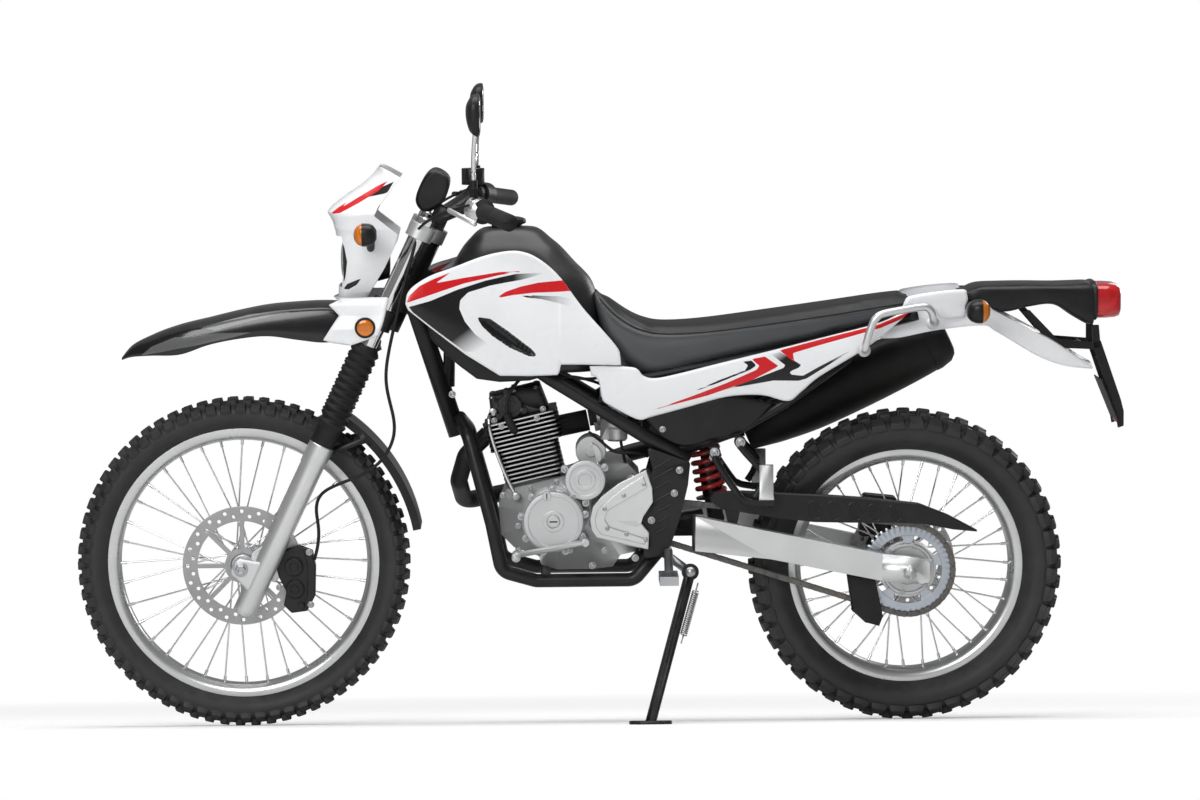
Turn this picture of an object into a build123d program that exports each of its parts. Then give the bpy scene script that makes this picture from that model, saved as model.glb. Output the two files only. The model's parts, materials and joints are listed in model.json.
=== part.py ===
from build123d import *
import os
from math import asin, atan2, cos, degrees, hypot, pi, radians, sin, sqrt, tan

# Dual sport motorcycle, parked on its side stand. Millimetres.
# The machine is drawn upright: X to the rear, Y to its right, Z up, origin on the ground at mid wheelbase.
# Outlines seen from the left are (X, Z) points on Plane.XZ, whose offset is the distance to the left.

# ---------------------------------------------------------------- driving sizes
wheelbase = 1360
rake = 25.5
lean = 9.4
lock_angle = 42

fit = 0.05
seat_gap = 0.3

front_tyre_radius = 342
front_tyre_width = 80
front_rim_radius = 278.5
front_rim_width = 55
rear_tyre_radius = 323
rear_tyre_width = 120
rear_rim_radius = 241.5
rear_rim_width = 66
spoke_count = 36
spoke_radius = 2.2

axle_lead = 43
clamp_offset = 20
fork_spacing = 190
fork_tube_radius = 18.5
lower_leg_radius = 24
leg_bottom = -85
leg_top = 298
boot_top = 523
lower_clamp_foot = 563
head_tube_foot = 605
head_tube_top = 762
fork_tube_top = 808
stem_radius = 15
head_tube_radius = 28

front_hub_half = 64
front_disc_radius = 122
front_disc_thickness = 4
front_disc_place = 59

rear_hub_end = 82
rear_disc_radius = 110
rear_disc_place = 76
chain_place = 78
chain_pitch = 12.7
chain_width = 17
chain_height = 12
roller_radius = 4.25
rear_teeth = 46
front_teeth = 15
link_count = 126
chain_slope = 11.97

frame_tube_radius = 14
cradle_half = 96
plate_inner = 104
plate_thickness = 14
swingarm_inner = 99
swingarm_arm = 26
pivot_x = 170
pivot_z = 432
pivot_tube_radius = 20
front_axle_radius = 7.5
rear_axle_radius = 8

bar_radius = 11
bar_half = 402
grip_radius = 17
grip_length = 125

panel_wall = 5
tank_half = 128
seat_half = 120

stand_x = 233
stand_y = -132
stand_z = 330
stand_reach = 329

# ---------------------------------------------------------------- places worked out from them
front_axle = Vector(-wheelbase / 2, 0, front_tyre_radius)
rear_axle = Vector(wheelbase / 2, 0, rear_tyre_radius)
fork_back = Vector(cos(radians(rake)), 0, -sin(radians(rake)))
fork_up = Vector(sin(radians(rake)), 0, cos(radians(rake)))
fork = Plane(origin=front_axle, x_dir=fork_back, z_dir=fork_up)
fork_side = Plane(origin=front_axle, x_dir=fork_back, z_dir=(0, -1, 0))
steering_back = axle_lead + clamp_offset
steering_foot = front_axle + fork_back * steering_back
leg_half = fork_spacing / 2

rear_pitch_radius = chain_pitch / 2 / sin(pi / rear_teeth)
front_pitch_radius = chain_pitch / 2 / sin(pi / front_teeth)
tooth_difference = (rear_teeth - front_teeth) / (2 * pi)
straight_links = link_count - (rear_teeth + front_teeth) / 2
# The centre distance that takes up a whole number of links.
chain_centres = chain_pitch / 4 * (straight_links + sqrt(straight_links**2 - 8 * tooth_difference**2))
front_sprocket = rear_axle + Vector(-cos(radians(chain_slope)), 0, sin(radians(chain_slope))) * chain_centres

# Tyre sections as (distance in from the tread's crown, half width) from the crown to the rim's edge.
front_tyre_rows = ((0, 0), (1.5, 14), (7, 28), (19, 38), (36, 40), (52, 37), (61, 26))
rear_tyre_rows = ((0, 0), (2, 22), (8, 42), (22, 58), (42, 60), (66, 52), (80, 34))


def tyre_low(radius, rows):
    """Lowest point of an upright tyre's surface once it leans, as (height, place across) in the lean."""
    tilt = radians(lean)
    return min(((drop - half * tan(tilt)) * cos(tilt), half) for drop, half in rows)


def tread_touch(radius, rows):
    """Place across and height where the leaning tyre meets the ground, in the upright frame."""
    return min(((drop * cos(radians(lean)) - half * sin(radians(lean)), half, drop) for drop, half in rows))


front_touch = tread_touch(front_tyre_radius, front_tyre_rows)
rear_touch = tread_touch(rear_tyre_radius, rear_tyre_rows)
lean_up = Vector(0, sin(radians(lean)), cos(radians(lean)))
front_contact = Vector(front_axle.X, -front_touch[1], front_touch[2])
rear_contact = Vector(rear_axle.X, -rear_touch[1], rear_touch[2])
along = (rear_contact - front_contact).normalized()
ground_up = (lean_up - along * lean_up.dot(along)).normalized()
# The ground under the parked machine: its origin lies below the middle of the parked machine's box.
park_x = 52.2
park_y = 156.9
contact_line = front_contact + along * (wheelbase / 2 + park_x)
ground = Plane(origin=front_contact, x_dir=along, z_dir=ground_up)
ground_origin = ground.from_local_coords(Vector(wheelbase / 2 + park_x, -park_y, 0))
ground = Plane(origin=ground_origin, x_dir=along, z_dir=ground_up)
parked = ground.location.inverse()


# ---------------------------------------------------------------- shared forms
def plate(points, start, thickness, radius=0, plane=Plane.XZ):
    """A flat piece from its outline, seen from the left, from one distance to the left on outwards."""
    with BuildPart() as piece:
        with BuildSketch(plane.offset(start)):
            with BuildLine():
                if radius:
                    FilletPolyline(*points, radius=radius, close=True)
                else:
                    Polyline(*points, close=True)
            make_face()
        extrude(amount=thickness)
    return piece.part


def body_slab(points, half, radius=0, plane=Plane.XZ):
    """A piece from its outline, as far to the left as to the right."""
    return plate(points, -half, 2 * half, radius, plane)


def rod(start, end, radius, sides=0):
    """A straight round bar, or one with flat sides."""
    start = Vector(*start)
    end = Vector(*end)
    with BuildPart() as piece:
        with BuildSketch(Plane(origin=start, z_dir=end - start)):
            if sides:
                RegularPolygon(radius, sides)
            else:
                Circle(radius)
        extrude(amount=(end - start).length)
    return piece.part


def tube(points, radius, bend):
    """A bar bent along straight runs."""
    with BuildPart() as piece:
        with BuildLine() as route:
            FilletPolyline(*points, radius=bend)
        with BuildSketch(Plane(origin=route.line @ 0, z_dir=route.line % 0)):
            Circle(radius)
        sweep()
    return piece.part


def block(x0, x1, y0, y1, z0, z1):
    """A box between two corners."""
    with BuildPart() as piece:
        with Locations(((x0 + x1) / 2, (y0 + y1) / 2, (z0 + z1) / 2)):
            Box(x1 - x0, y1 - y0, z1 - z0)
    return piece.part


def flipped(piece):
    """The same piece on the other side of the machine."""
    return mirror(piece, about=Plane.XZ, mode=Mode.PRIVATE)


def ring(points, centre):
    """A turned piece about an axle, from (radius, place across) points."""
    with BuildPart() as piece:
        with BuildSketch(Plane(origin=centre)):
            with BuildLine():
                Polyline(*points, close=True)
            make_face()
        revolve(axis=Axis(centre, (0, 1, 0)))
    return piece.part


def turned(points, plane):
    """A turned piece about a plane's normal, from (radius, height) points."""
    across = Plane(origin=plane.origin, x_dir=plane.x_dir, z_dir=plane.y_dir * -1)
    with BuildPart() as piece:
        with BuildSketch(across):
            with BuildLine():
                Polyline(*points, close=True)
            make_face()
        revolve(axis=Axis(plane.origin, plane.z_dir))
    return piece.part


finished = []


def finish(piece, name):
    piece.part.label = name
    finished.append(piece.part)


# ---------------------------------------------------------------- wheels
def tyre(centre, radius, rows, rim_radius, rim_width, name):
    seat = rim_radius - 11
    half_bead = rim_width / 2 - 4
    left = [(radius - drop, half) for drop, half in rows]
    right = [(r, -half) for r, half in reversed(left[1:])]
    bead_left = [(rim_radius, half_bead), (seat, half_bead)]
    bead_right = [(seat, -half_bead), (rim_radius, -half_bead)]
    with BuildPart() as piece:
        add(ring(left + bead_left + bead_right + right, centre))
    finish(piece, name)
    return piece.part


def wire_wheel(centre, rim_radius, rim_width, hub_rows, flange_radius, flange_half, bore, name):
    """Rim, hub and crossed spokes as one piece."""
    outer = rim_width / 2
    inner = outer - 4
    seat = rim_radius - 11
    well = rim_radius - 21
    rim_left = [(rim_radius, outer), (rim_radius, inner), (seat, inner)]
    rim_right = [(seat, -inner), (rim_radius, -inner), (rim_radius, -outer)]
    rim_inside = [(seat, -outer), (well - 4, -outer / 2), (well - 4, outer / 2), (seat, outer)]
    spoke_end = well - 1
    cross = 62
    with BuildPart() as piece:
        add(ring(rim_left + rim_right + rim_inside, centre))
        add(ring(hub_rows, centre))
        spokes = []
        for number in range(spoke_count):
            side = 1 if number % 2 else -1
            swing = cross if (number // 2) % 2 else -cross
            rim_angle = radians(360 / spoke_count * number)
            hub_angle = rim_angle + radians(swing)
            start = centre + Vector(flange_radius * cos(hub_angle), side * flange_half, flange_radius * sin(hub_angle))
            end = centre + Vector(spoke_end * cos(rim_angle), side * 6, spoke_end * sin(rim_angle))
            spokes.append(rod(start, end, spoke_radius, sides=4))
        add(spokes)
        with BuildSketch(Plane.XZ.shift_origin((centre.X, 0, centre.Z)).offset(-200)):
            Circle(bore)
        extrude(amount=400, mode=Mode.SUBTRACT)
    finish(piece, name)
    return piece.part


def brake_disc(centre, place, radius, thickness, hub_radius, name):
    """A drilled ring on spidery arms. Place is the distance to the left."""
    hole_radius = 4
    arms = 8
    ring_inner = radius - 30
    face = Plane.XZ.shift_origin((centre.X, 0, centre.Z)).offset(place - thickness / 2)
    with BuildPart() as piece:
        with BuildSketch(face):
            Circle(radius)
            Circle(ring_inner, mode=Mode.SUBTRACT)
            Circle(hub_radius + 12)
            with PolarLocations((ring_inner + hub_radius) / 2 + 6, arms):
                Rectangle(ring_inner - hub_radius, 9)
            with PolarLocations(radius - 10, 20):
                Circle(hole_radius, mode=Mode.SUBTRACT)
            with PolarLocations(radius - 20, 20, start_angle=9):
                Circle(hole_radius, mode=Mode.SUBTRACT)
            Circle(hub_radius, mode=Mode.SUBTRACT)
        extrude(amount=thickness)
    finish(piece, name)
    return piece.part


front_hub_rows = (
    (11, front_hub_half), (20, front_hub_half), (20, 40), (34, 36), (34, 30), (24, 26),
    (24, -26), (34, -30), (34, -36), (30, -40), (30, -front_disc_place + 2), (24, -front_disc_place + 2),
    (24, -front_hub_half), (11, -front_hub_half),
)
rear_hub_rows = (
    (13, rear_hub_end), (36, rear_hub_end), (36, 50), (48, 42), (48, 34), (36, 30),
    (36, -30), (48, -34), (48, -42), (44, -50), (44, -chain_place + 4), (36, -chain_place + 4),
    (36, -chain_place - 6), (13, -chain_place - 6),
)
front_tyre = tyre(front_axle, front_tyre_radius, front_tyre_rows, front_rim_radius, front_rim_width, "front_tyre")
rear_tyre = tyre(rear_axle, rear_tyre_radius, rear_tyre_rows, rear_rim_radius, rear_rim_width, "rear_tyre")
front_wheel = wire_wheel(
    front_axle, front_rim_radius, front_rim_width, front_hub_rows, 32, 33, front_axle_radius + fit, "front_wire_wheel"
)
rear_wheel = wire_wheel(
    rear_axle, rear_rim_radius, rear_rim_width, rear_hub_rows, 46, 38, rear_axle_radius + fit, "rear_wire_wheel"
)
front_disc = brake_disc(
    front_axle, front_disc_place, front_disc_radius, front_disc_thickness, 24, "front_brake_disc"
)
rear_disc = brake_disc(rear_axle, -rear_disc_place, rear_disc_radius, 5, 36, "rear_brake_disc")

# The rear disc seats on a shoulder of the hub, so the hub is cut back to it there.
tooth_inner = rear_pitch_radius - chain_height / 2 - 0.5
with BuildPart() as sprocket:
    sprocket_face = Plane.XZ.shift_origin((rear_axle.X, 0, rear_axle.Z)).offset(chain_place - 3)
    with BuildSketch(sprocket_face):
        Circle(tooth_inner)
        with PolarLocations(66, 6):
            Circle(13, mode=Mode.SUBTRACT)
        Circle(36, mode=Mode.SUBTRACT)
    extrude(amount=6)
finish(sprocket, "sprocket")

# ---------------------------------------------------------------- fork and steering
steering_plane = Plane(origin=steering_foot, x_dir=fork_back, z_dir=fork_up)
leg_places = ((axle_lead, leg_half), (axle_lead, -leg_half))
disc_room = front_disc_place + front_disc_thickness / 2

with BuildPart() as fork_lowers:
    with BuildSketch(fork.offset(leg_bottom)):
        with Locations(*leg_places):
            Circle(lower_leg_radius)
    extrude(amount=leg_top - leg_bottom)
    # Axle lugs, ahead of the legs.
    for side in (-1, 1):
        lug = plate(
            [(-20, -20), (axle_lead + 18, -46), (axle_lead + 18, 40), (-20, 20)],
            leg_half - 21 if side < 0 else -leg_half - 21,
            42,
            radius=15,
            plane=fork_side,
        )
        add(lug)
    with BuildSketch(fork_side.offset(-200)):
        Circle(front_axle_radius)
    extrude(amount=400, mode=Mode.SUBTRACT)
    # The clamped axle with its spacers and nuts.
    lug_face = leg_half + 21
    add(rod(front_axle - Vector(0, lug_face, 0), front_axle + Vector(0, lug_face, 0), front_axle_radius))
    for side in (-1, 1):
        add(rod(
            front_axle + Vector(0, side * lug_face, 0), front_axle + Vector(0, side * (lug_face + 10), 0), 13, sides=6
        ))
    spacer_end = leg_half - 21
    for side in (-1, 1):
        add(rod(
            front_axle + Vector(0, side * (front_hub_half + seat_gap), 0),
            front_axle + Vector(0, side * spacer_end, 0), 15,
        ))
finish(fork_lowers, "fork_lower_legs")

with BuildPart() as fork_tubes:
    with BuildSketch(fork.offset(leg_top)):
        with Locations(*leg_places):
            Circle(fork_tube_radius)
    extrude(amount=fork_tube_top - leg_top)
finish(fork_tubes, "fork_tubes")

boot_rows = [(fork_tube_radius, leg_top), (25, leg_top), (25, leg_top + 38), (27, leg_top + 42)]
boot_folds = 11
fold_height = (boot_top - leg_top - 50) / boot_folds
for number in range(boot_folds):
    boot_rows.append((31, leg_top + 42 + fold_height * (number + 0.5)))
    boot_rows.append((25, leg_top + 42 + fold_height * (number + 1)))
boot_rows += [(23, boot_top), (fork_tube_radius, boot_top)]
with BuildPart() as boots:
    for side in (-1, 1):
        leg_plane = Plane(
            origin=fork.from_local_coords(Vector(axle_lead, side * leg_half, 0)), x_dir=fork_back, z_dir=fork_up
        )
        add(turned(boot_rows, leg_plane))
finish(boots, "fork_boots")

clamp_outline_half = leg_half + 28
with BuildPart() as lower_clamp:
    with BuildSketch(fork.offset(lower_clamp_foot)) as lower_clamp_outline:
        with Locations(*leg_places):
            Circle(28)
        with Locations((axle_lead + 4, 0)):
            Rectangle(42, fork_spacing)
        with Locations((steering_back, 0)):
            Circle(26)
        with Locations(*leg_places):
            Circle(fork_tube_radius, mode=Mode.SUBTRACT)
    extrude(amount=head_tube_foot - lower_clamp_foot - seat_gap)
    with BuildSketch(fork.offset(lower_clamp_foot)):
        with Locations((steering_back, 0)):
            Circle(stem_radius)
    extrude(amount=head_tube_top + seat_gap - lower_clamp_foot)
finish(lower_clamp, "lower_fork_clamp")

with BuildPart() as top_clamp:
    with BuildSketch(fork.offset(head_tube_top + seat_gap)):
        with Locations(*leg_places):
            Circle(27)
        with Locations((axle_lead + 8, 0)):
            Rectangle(40, fork_spacing)
        with Locations((steering_back, 0)):
            Circle(32)
        with Locations(*leg_places):
            Circle(fork_tube_radius, mode=Mode.SUBTRACT)
    extrude(amount=30)
finish(top_clamp, "top_fork_clamp")

top_clamp_face = head_tube_top + seat_gap + 30
bar_centre = fork.from_local_coords(Vector(steering_back + 4, 0, top_clamp_face + 26))
bar_points = [
    (bar_centre.X + 141, -bar_half, bar_centre.Z + 10),
    (bar_centre.X + 62, -225, bar_centre.Z + 32),
    (bar_centre.X, -95, bar_centre.Z),
    (bar_centre.X, 95, bar_centre.Z),
    (bar_centre.X + 62, 225, bar_centre.Z + 32),
    (bar_centre.X + 141, bar_half, bar_centre.Z + 10),
]
with BuildPart() as handlebar:
    add(tube(bar_points, bar_radius, 60))
    for side in (-1, 1):
        with BuildSketch(fork.offset(top_clamp_face)):
            with Locations((steering_back + 4, side * 42)):
                Rectangle(34, 26)
        extrude(amount=44)
finish(handlebar, "handlebar")

grip_direction = (Vector(*bar_points[0]) - Vector(*bar_points[1])).normalized()
bar_end = Vector(*bar_points[0])


def bar_place(distance):
    """A point on the left half of the bar, so far in from its end."""
    return bar_end - grip_direction * distance


with BuildPart() as left_controls:
    add(rod(bar_place(grip_length), bar_place(-3), grip_radius))
    add(rod(bar_place(grip_length + 40), bar_place(grip_length), 25))
    lever_root = bar_place(grip_length + 52) + Vector(-22, 0, -2)
    add(rod(bar_place(grip_length + 62), bar_place(grip_length + 42), 20))
    add(rod(bar_place(grip_length + 52), lever_root + Vector(-12, 0, 0), 8))
    lever_tip = bar_place(12) + Vector(-62, 0, -4)
    add(tube([lever_root, lever_root + Vector(-28, -18, 0), lever_tip], 5, 12))
    add(handlebar.part, mode=Mode.SUBTRACT)

with BuildPart() as right_controls:
    add(flipped(left_controls.part))
    reservoir = bar_place(grip_length + 52)
    reservoir = Vector(reservoir.X - 6, -reservoir.Y, reservoir.Z + 18)
    add(rod(reservoir, reservoir + Vector(0, 0, 34), 24))
    add(handlebar.part, mode=Mode.SUBTRACT)

with BuildPart() as hand_controls:
    add(left_controls.part)
    add(right_controls.part)
finish(hand_controls, "hand_controls")

with BuildPart() as mirrors:
    for side in (-1, 1):
        foot = bar_place(grip_length + 32)
        foot = Vector(foot.X, foot.Y * -side, foot.Z + 24)
        head = foot + Vector(12, side * 30, 150)
        add(tube([foot, foot + Vector(0, 0, 70), head], 5, 30))
        with BuildSketch(Plane(origin=head + Vector(8, 0, 10), x_dir=(0, 1, 0), z_dir=(1, 0, 0.12))):
            with Locations((side * 12, 0)):
                RectangleRounded(150, 92, 30)
        extrude(amount=-32, taper=18)
    add(left_controls.part, mode=Mode.SUBTRACT)
    add(right_controls.part, mode=Mode.SUBTRACT)
    add(handlebar.part, mode=Mode.SUBTRACT)
finish(mirrors, "mirrors")

with BuildPart() as instruments:
    add(body_slab(
        [(-276, 1148), (-246, 1125), (-262, 1078), (-300, 1060), (-318, 1085), (-300, 1130)], 62, radius=5
    ))
    add(handlebar.part, mode=Mode.SUBTRACT)
finish(instruments, "instruments")

with BuildPart() as cowl:
    add(body_slab(
        [
            (-394, 1155), (-345, 1126), (-360, 1090), (-368, 1072), (-349, 1017), (-384, 956), (-424, 896),
            (-449, 874), (-485, 876), (-477, 880), (-473, 900), (-469, 981), (-481, 1030), (-499, 1059),
        ], 112
    ))
    with BuildSketch(Plane.XY.offset(800)):
        with BuildLine():
            Polyline((-515, -62), (-480, -88), (-330, -112), (-330, 112), (-480, 88), (-515, 62), close=True)
        make_face()
    extrude(amount=400, mode=Mode.INTERSECT)
    with BuildSketch(Plane.XY.offset(800)):
        with BuildLine():
            Polyline((-462, -70), (-300, -105), (-300, 105), (-462, 70), close=True)
        make_face()
    extrude(amount=310, mode=Mode.SUBTRACT)
finish(cowl, "headlight_cowl")

with BuildPart() as headlamp:
    add(body_slab([(-466, 905), (-461, 981), (-461, 1025), (-440, 1025), (-420, 905)], 60))
    # Stays back to the fork tubes carry the lamp and its cowl.
    for side in (-1, 1):
        stay_end = fork.from_local_coords(Vector(axle_lead, side * leg_half, 690))
        add(rod((-436, side * 50, 955), stay_end, 8))
    add(cowl.part, mode=Mode.SUBTRACT)
    add(fork_tubes.part, mode=Mode.SUBTRACT)
finish(headlamp, "headlamp")

fender_side = [
    (-924.5, 764), (-843, 815), (-731, 869), (-640, 876), (-557, 871.5), (-476, 852), (-397, 800),
    (-397, 787), (-480, 812), (-512, 800), (-700, 813), (-843, 778),
]
with BuildPart() as front_fender:
    add(body_slab(fender_side, 72))
    with BuildSketch(Plane.XY.offset(700)):
        with BuildLine():
            Polyline(
                (-930, -22), (-840, -52), (-700, -66), (-500, -72), (-380, -60),
                (-380, 60), (-500, 72), (-700, 66), (-840, 52), (-930, 22), close=True,
            )
        make_face()
    extrude(amount=300, mode=Mode.INTERSECT)
    # Pad bolted up under the lower clamp.
    with BuildSketch(fork.offset(lower_clamp_foot - 30)):
        with Locations((axle_lead + 2, 0)):
            Rectangle(42, 80)
    extrude(amount=30)
finish(front_fender, "front_fender")

with BuildPart() as fork_guard:
    guard_angles = (11, 54)
    with BuildSketch(Plane.XZ.shift_origin((front_axle.X, 0, front_axle.Z)).offset(-58)):
        Circle(372)
        Circle(356, mode=Mode.SUBTRACT)
        with BuildLine():
            Polyline(
                (0, 0), (500 * cos(radians(guard_angles[0])), 500 * sin(radians(guard_angles[0]))),
                (500 * cos(radians(guard_angles[1])), 500 * sin(radians(guard_angles[1]))), close=True,
            )
        make_face(mode=Mode.INTERSECT)
    extrude(amount=116)
    for side in (-1, 1):
        leg_end = fork.from_local_coords(Vector(50, side * 85, 280))
        guard_end = fork.from_local_coords(Vector(122, side * 50, 342))
        add(rod(leg_end, guard_end, 7))
    add(fork_lowers.part, mode=Mode.SUBTRACT)
    add(boots.part, mode=Mode.SUBTRACT)
finish(fork_guard, "fork_mudguard")

with BuildPart() as front_signals:
    for side in (-1, 1):
        add(rod((-400, side * 100, 1026), (-412, side * 172, 1026), 9))
        with BuildSketch(Plane(origin=(-412, side * 172, 1026), x_dir=(1, 0, 0), z_dir=(0, side, 0))):
            RectangleRounded(42, 48, 14)
        extrude(amount=52, taper=10)
    for side in (-1, 1):
        centre = fork.from_local_coords(Vector(30, 0, 553))
        stem = fork.from_local_coords(Vector(38, 0, 576))
        add(rod((centre.X, side * 124, centre.Z), (centre.X, side * 132, centre.Z), 23))
        add(rod((stem.X, side * 112, stem.Z), (stem.X, side * 126, stem.Z), 7))
    add(fork_tubes.part, mode=Mode.SUBTRACT)
    add(lower_clamp.part, mode=Mode.SUBTRACT)
    add(cowl.part, mode=Mode.SUBTRACT)
finish(front_signals, "front_signals")

with BuildPart() as front_caliper:
    caliper_side = [(72, -60), (118, -66), (150, -20), (150, 40), (118, 80), (72, 86)]
    add(plate(caliper_side, 44, 44, radius=10, plane=fork_side))
    add(plate([(60, -50), (74, -50), (74, 76), (60, 76)], 74, 14, plane=fork_side))
    with BuildSketch(fork_side.offset(disc_room - front_disc_thickness - 2)):
        Circle(front_disc_radius + 5)
    extrude(amount=front_disc_thickness + 4, mode=Mode.SUBTRACT)
    add(fork_lowers.part, mode=Mode.SUBTRACT)
finish(front_caliper, "front_brake_caliper")

# ---------------------------------------------------------------- frame
with BuildPart() as frame_spine:
    with BuildSketch(fork.offset(head_tube_foot)):
        with Locations((steering_back, 0)):
            Circle(head_tube_radius)
    extrude(amount=head_tube_top - head_tube_foot)
    add(tube([(-330, 0, 935), (-150, 0, 860), (40, 0, 790)], 20, 200))
    add(rod((-332.5, 0, 896), (-238, 0, 600), 19))
    add(rod((-250, 0, 905), (-255, 0, 700), 12))
    with BuildSketch(fork.offset(head_tube_foot - 5)):
        with Locations((steering_back, 0)):
            Circle(stem_radius + fit)
    extrude(amount=head_tube_top - head_tube_foot + 10, mode=Mode.SUBTRACT)
finish(frame_spine, "frame_spine")

cradle_route = [
    (-234, -14, 634), (-216, -62, 606), (-169, -cradle_half, 428), (-150, -cradle_half, 330),
    (-80, -cradle_half, 310), (120, -cradle_half, 310), (172, -cradle_half, 372),
]
with BuildPart() as cradle:
    left_tube = tube(cradle_route, frame_tube_radius, 28)
    add(left_tube)
    add(flipped(left_tube))
    add(rod((-60, -cradle_half, 310), (-60, cradle_half, 310), 10))
    add(frame_spine.part, mode=Mode.SUBTRACT)
finish(cradle, "frame_cradle")

side_route = [(-300, -16, 905), (-160, -70, 800), (-48, -88, 723), (136, -100, 609), (233, -100, 555)]
with BuildPart() as side_tubes:
    left_tube = tube(side_route, frame_tube_radius, 50)
    add(left_tube)
    add(flipped(left_tube))
    add(frame_spine.part, mode=Mode.SUBTRACT)
finish(side_tubes, "frame_side_tubes")

pivot_outline = [
    (146, 585), (235, 552), (230, 506), (214, 440), (196, 388), (181, 362), (140, 356), (136, 436), (142, 480),
    (159, 539),
]
with BuildPart() as pivot_plates:
    left_plate = plate(pivot_outline, plate_inner, plate_thickness, radius=6)
    add(left_plate)
    add(flipped(left_plate))
    add(side_tubes.part, mode=Mode.SUBTRACT)
    add(cradle.part, mode=Mode.SUBTRACT)
finish(pivot_plates, "pivot_plates")

upper_rail = [(48, -94, 668), (136, -92, 722), (420, -92, 775), (700, -80, 845)]
lower_rail = [(214, -96, 572), (324, -88, 610), (427, -88, 668), (560, -84, 760)]
with BuildPart() as subframe:
    for route in (upper_rail, lower_rail):
        rail = tube(route, 11, 60)
        add(rail)
        add(flipped(rail))
    for place in ((140, 722), (420, 775), (690, 842)):
        add(rod((place[0], -92, place[1]), (place[0], 92, place[1]), 9))
    add(side_tubes.part, mode=Mode.SUBTRACT)
    add(pivot_plates.part, mode=Mode.SUBTRACT)
finish(subframe, "rear_subframe")

# ---------------------------------------------------------------- engine
cylinder_lean = 13
cylinder_plane = Plane(
    origin=(-78, 0, 508),
    x_dir=(cos(radians(cylinder_lean)), 0, sin(radians(cylinder_lean))),
    z_dir=(-sin(radians(cylinder_lean)), 0, cos(radians(cylinder_lean))),
)
case_outline = [
    (-139, 495), (-155, 461), (-151, 404), (-125, 377), (-74, 358), (-69, 340), (-36, 330), (34, 330), (77, 335),
    (93, 359), (134, 367), (134, 520), (110, 545), (30, 560), (-14, 540),
]
with BuildPart() as engine_cases:
    add(body_slab(case_outline, 78, radius=6))
    for centre, radius, reach in (((-44, 437), 64, 128), ((21, 520), 42, 118)):
        add(rod((centre[0], -70, centre[1]), (centre[0], -reach, centre[1]), radius))
    add(plate(
        [(32, 446), (118, 530), (130, 520), (132, 437), (132, 380), (92, 389), (44, 411)], 95, 39, radius=5
    ))
    add(block(34, 49, -96, -70, 425, 470))
    add(rod((-20, 70, 430), (-20, 122, 430), 84))
    add(rod((29, -70, 565), (29, -100, 565), 26))
    # Rear mounting lug between the pivot plates.
    add(rod((150, -plate_inner, 500), (150, plate_inner, 500), 13))
    add(block(110, 150, -40, 40, 488, 512))
    add(cradle.part, mode=Mode.SUBTRACT)
    with BuildSketch(cylinder_plane):
        Rectangle(260, 300)
    extrude(amount=200, mode=Mode.SUBTRACT)
finish(engine_cases, "engine_cases")

fin_pitch = 9
fin_thickness = 3
with BuildPart() as cylinder:
    with BuildSketch(cylinder_plane):
        Rectangle(104, 110)
    extrude(amount=168)
    for number in range(15):
        with BuildSketch(cylinder_plane.offset(8 + fin_pitch * number)):
            if number < 8:
                RectangleRounded(126, 140, 18)
            else:
                RectangleRounded(152, 150, 18)
        extrude(amount=fin_thickness)
    with BuildSketch(cylinder_plane.offset(142)):
        RectangleRounded(120, 120, 16)
    extrude(amount=48, taper=8)
    add(rod((-60, 0, 660), (-176, 8, 600), 24))
    add(rod((-60, 0, 610), (30, 0, 628), 22))
finish(cylinder, "cylinder_and_head")

exhaust_route = [
    (-176, 8, 600), (-222, 12, 556), (-238, 40, 500), (-228, 132, 445), (-90, 152, 470), (120, 156, 540),
    (250, 154, 572), (356, 142, 592),
]
with BuildPart() as header:
    add(tube(exhaust_route, 18, 26))
    add(cylinder.part, mode=Mode.SUBTRACT)
finish(header, "exhaust_header")

muffler_outline = [
    (355, 554), (430, 566), (508, 585), (773, 736), (790, 769), (767, 812), (714, 809), (587, 757), (435, 659),
    (362, 613),
]
with BuildPart() as muffler:
    add(plate(muffler_outline, -178, 92, radius=10))
    add(header.part, mode=Mode.SUBTRACT)
finish(muffler, "muffler")

with BuildPart() as carburettor:
    add(rod((40, 0, 630), (138, 0, 648), 26))
    add(block(55, 105, -30, 40, 590, 690))
    add(cylinder.part, mode=Mode.SUBTRACT)
    add(side_tubes.part, mode=Mode.SUBTRACT)

with BuildPart() as intake:
    add(carburettor.part)
    add(body_slab([(140, 600), (232, 600), (330, 640), (330, 700), (200, 690), (140, 690)], 86, radius=6))
    for neighbour in (side_tubes, subframe, pivot_plates):
        add(neighbour.part, mode=Mode.SUBTRACT)
finish(intake, "carburettor_and_airbox")

# ---------------------------------------------------------------- tank and panels
tank_outline = [
    (-262, 830), (-235, 957), (-190, 1020), (-170, 1027), (-84, 1026), (-61, 1016), (30, 929), (44, 870),
    (60, 800), (60, 752), (-43, 750), (-148, 735), (-200, 750),
]
with BuildPart() as tank:
    add(body_slab(tank_outline, tank_half, radius=6))
    with BuildSketch(Plane.YZ.offset(-400)):
        with BuildLine():
            Polyline(
                (-tank_half, 700), (-tank_half, 850), (-108, 912), (-44, 1040), (44, 1040), (108, 912),
                (tank_half, 850), (tank_half, 700), close=True,
            )
        make_face()
    extrude(amount=600, mode=Mode.INTERSECT)
    add(body_slab([(-420, 1000), (-150, 905), (70, 824), (70, 650), (-420, 650)], 104), mode=Mode.SUBTRACT)
    # Rubber pads on the backbone.
    add(block(10, 44, -24, 24, 795, 845))
    add(block(-250, -225, -24, 24, 900, 945))
    add(frame_spine.part, mode=Mode.SUBTRACT)
finish(tank, "fuel_tank")

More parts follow.
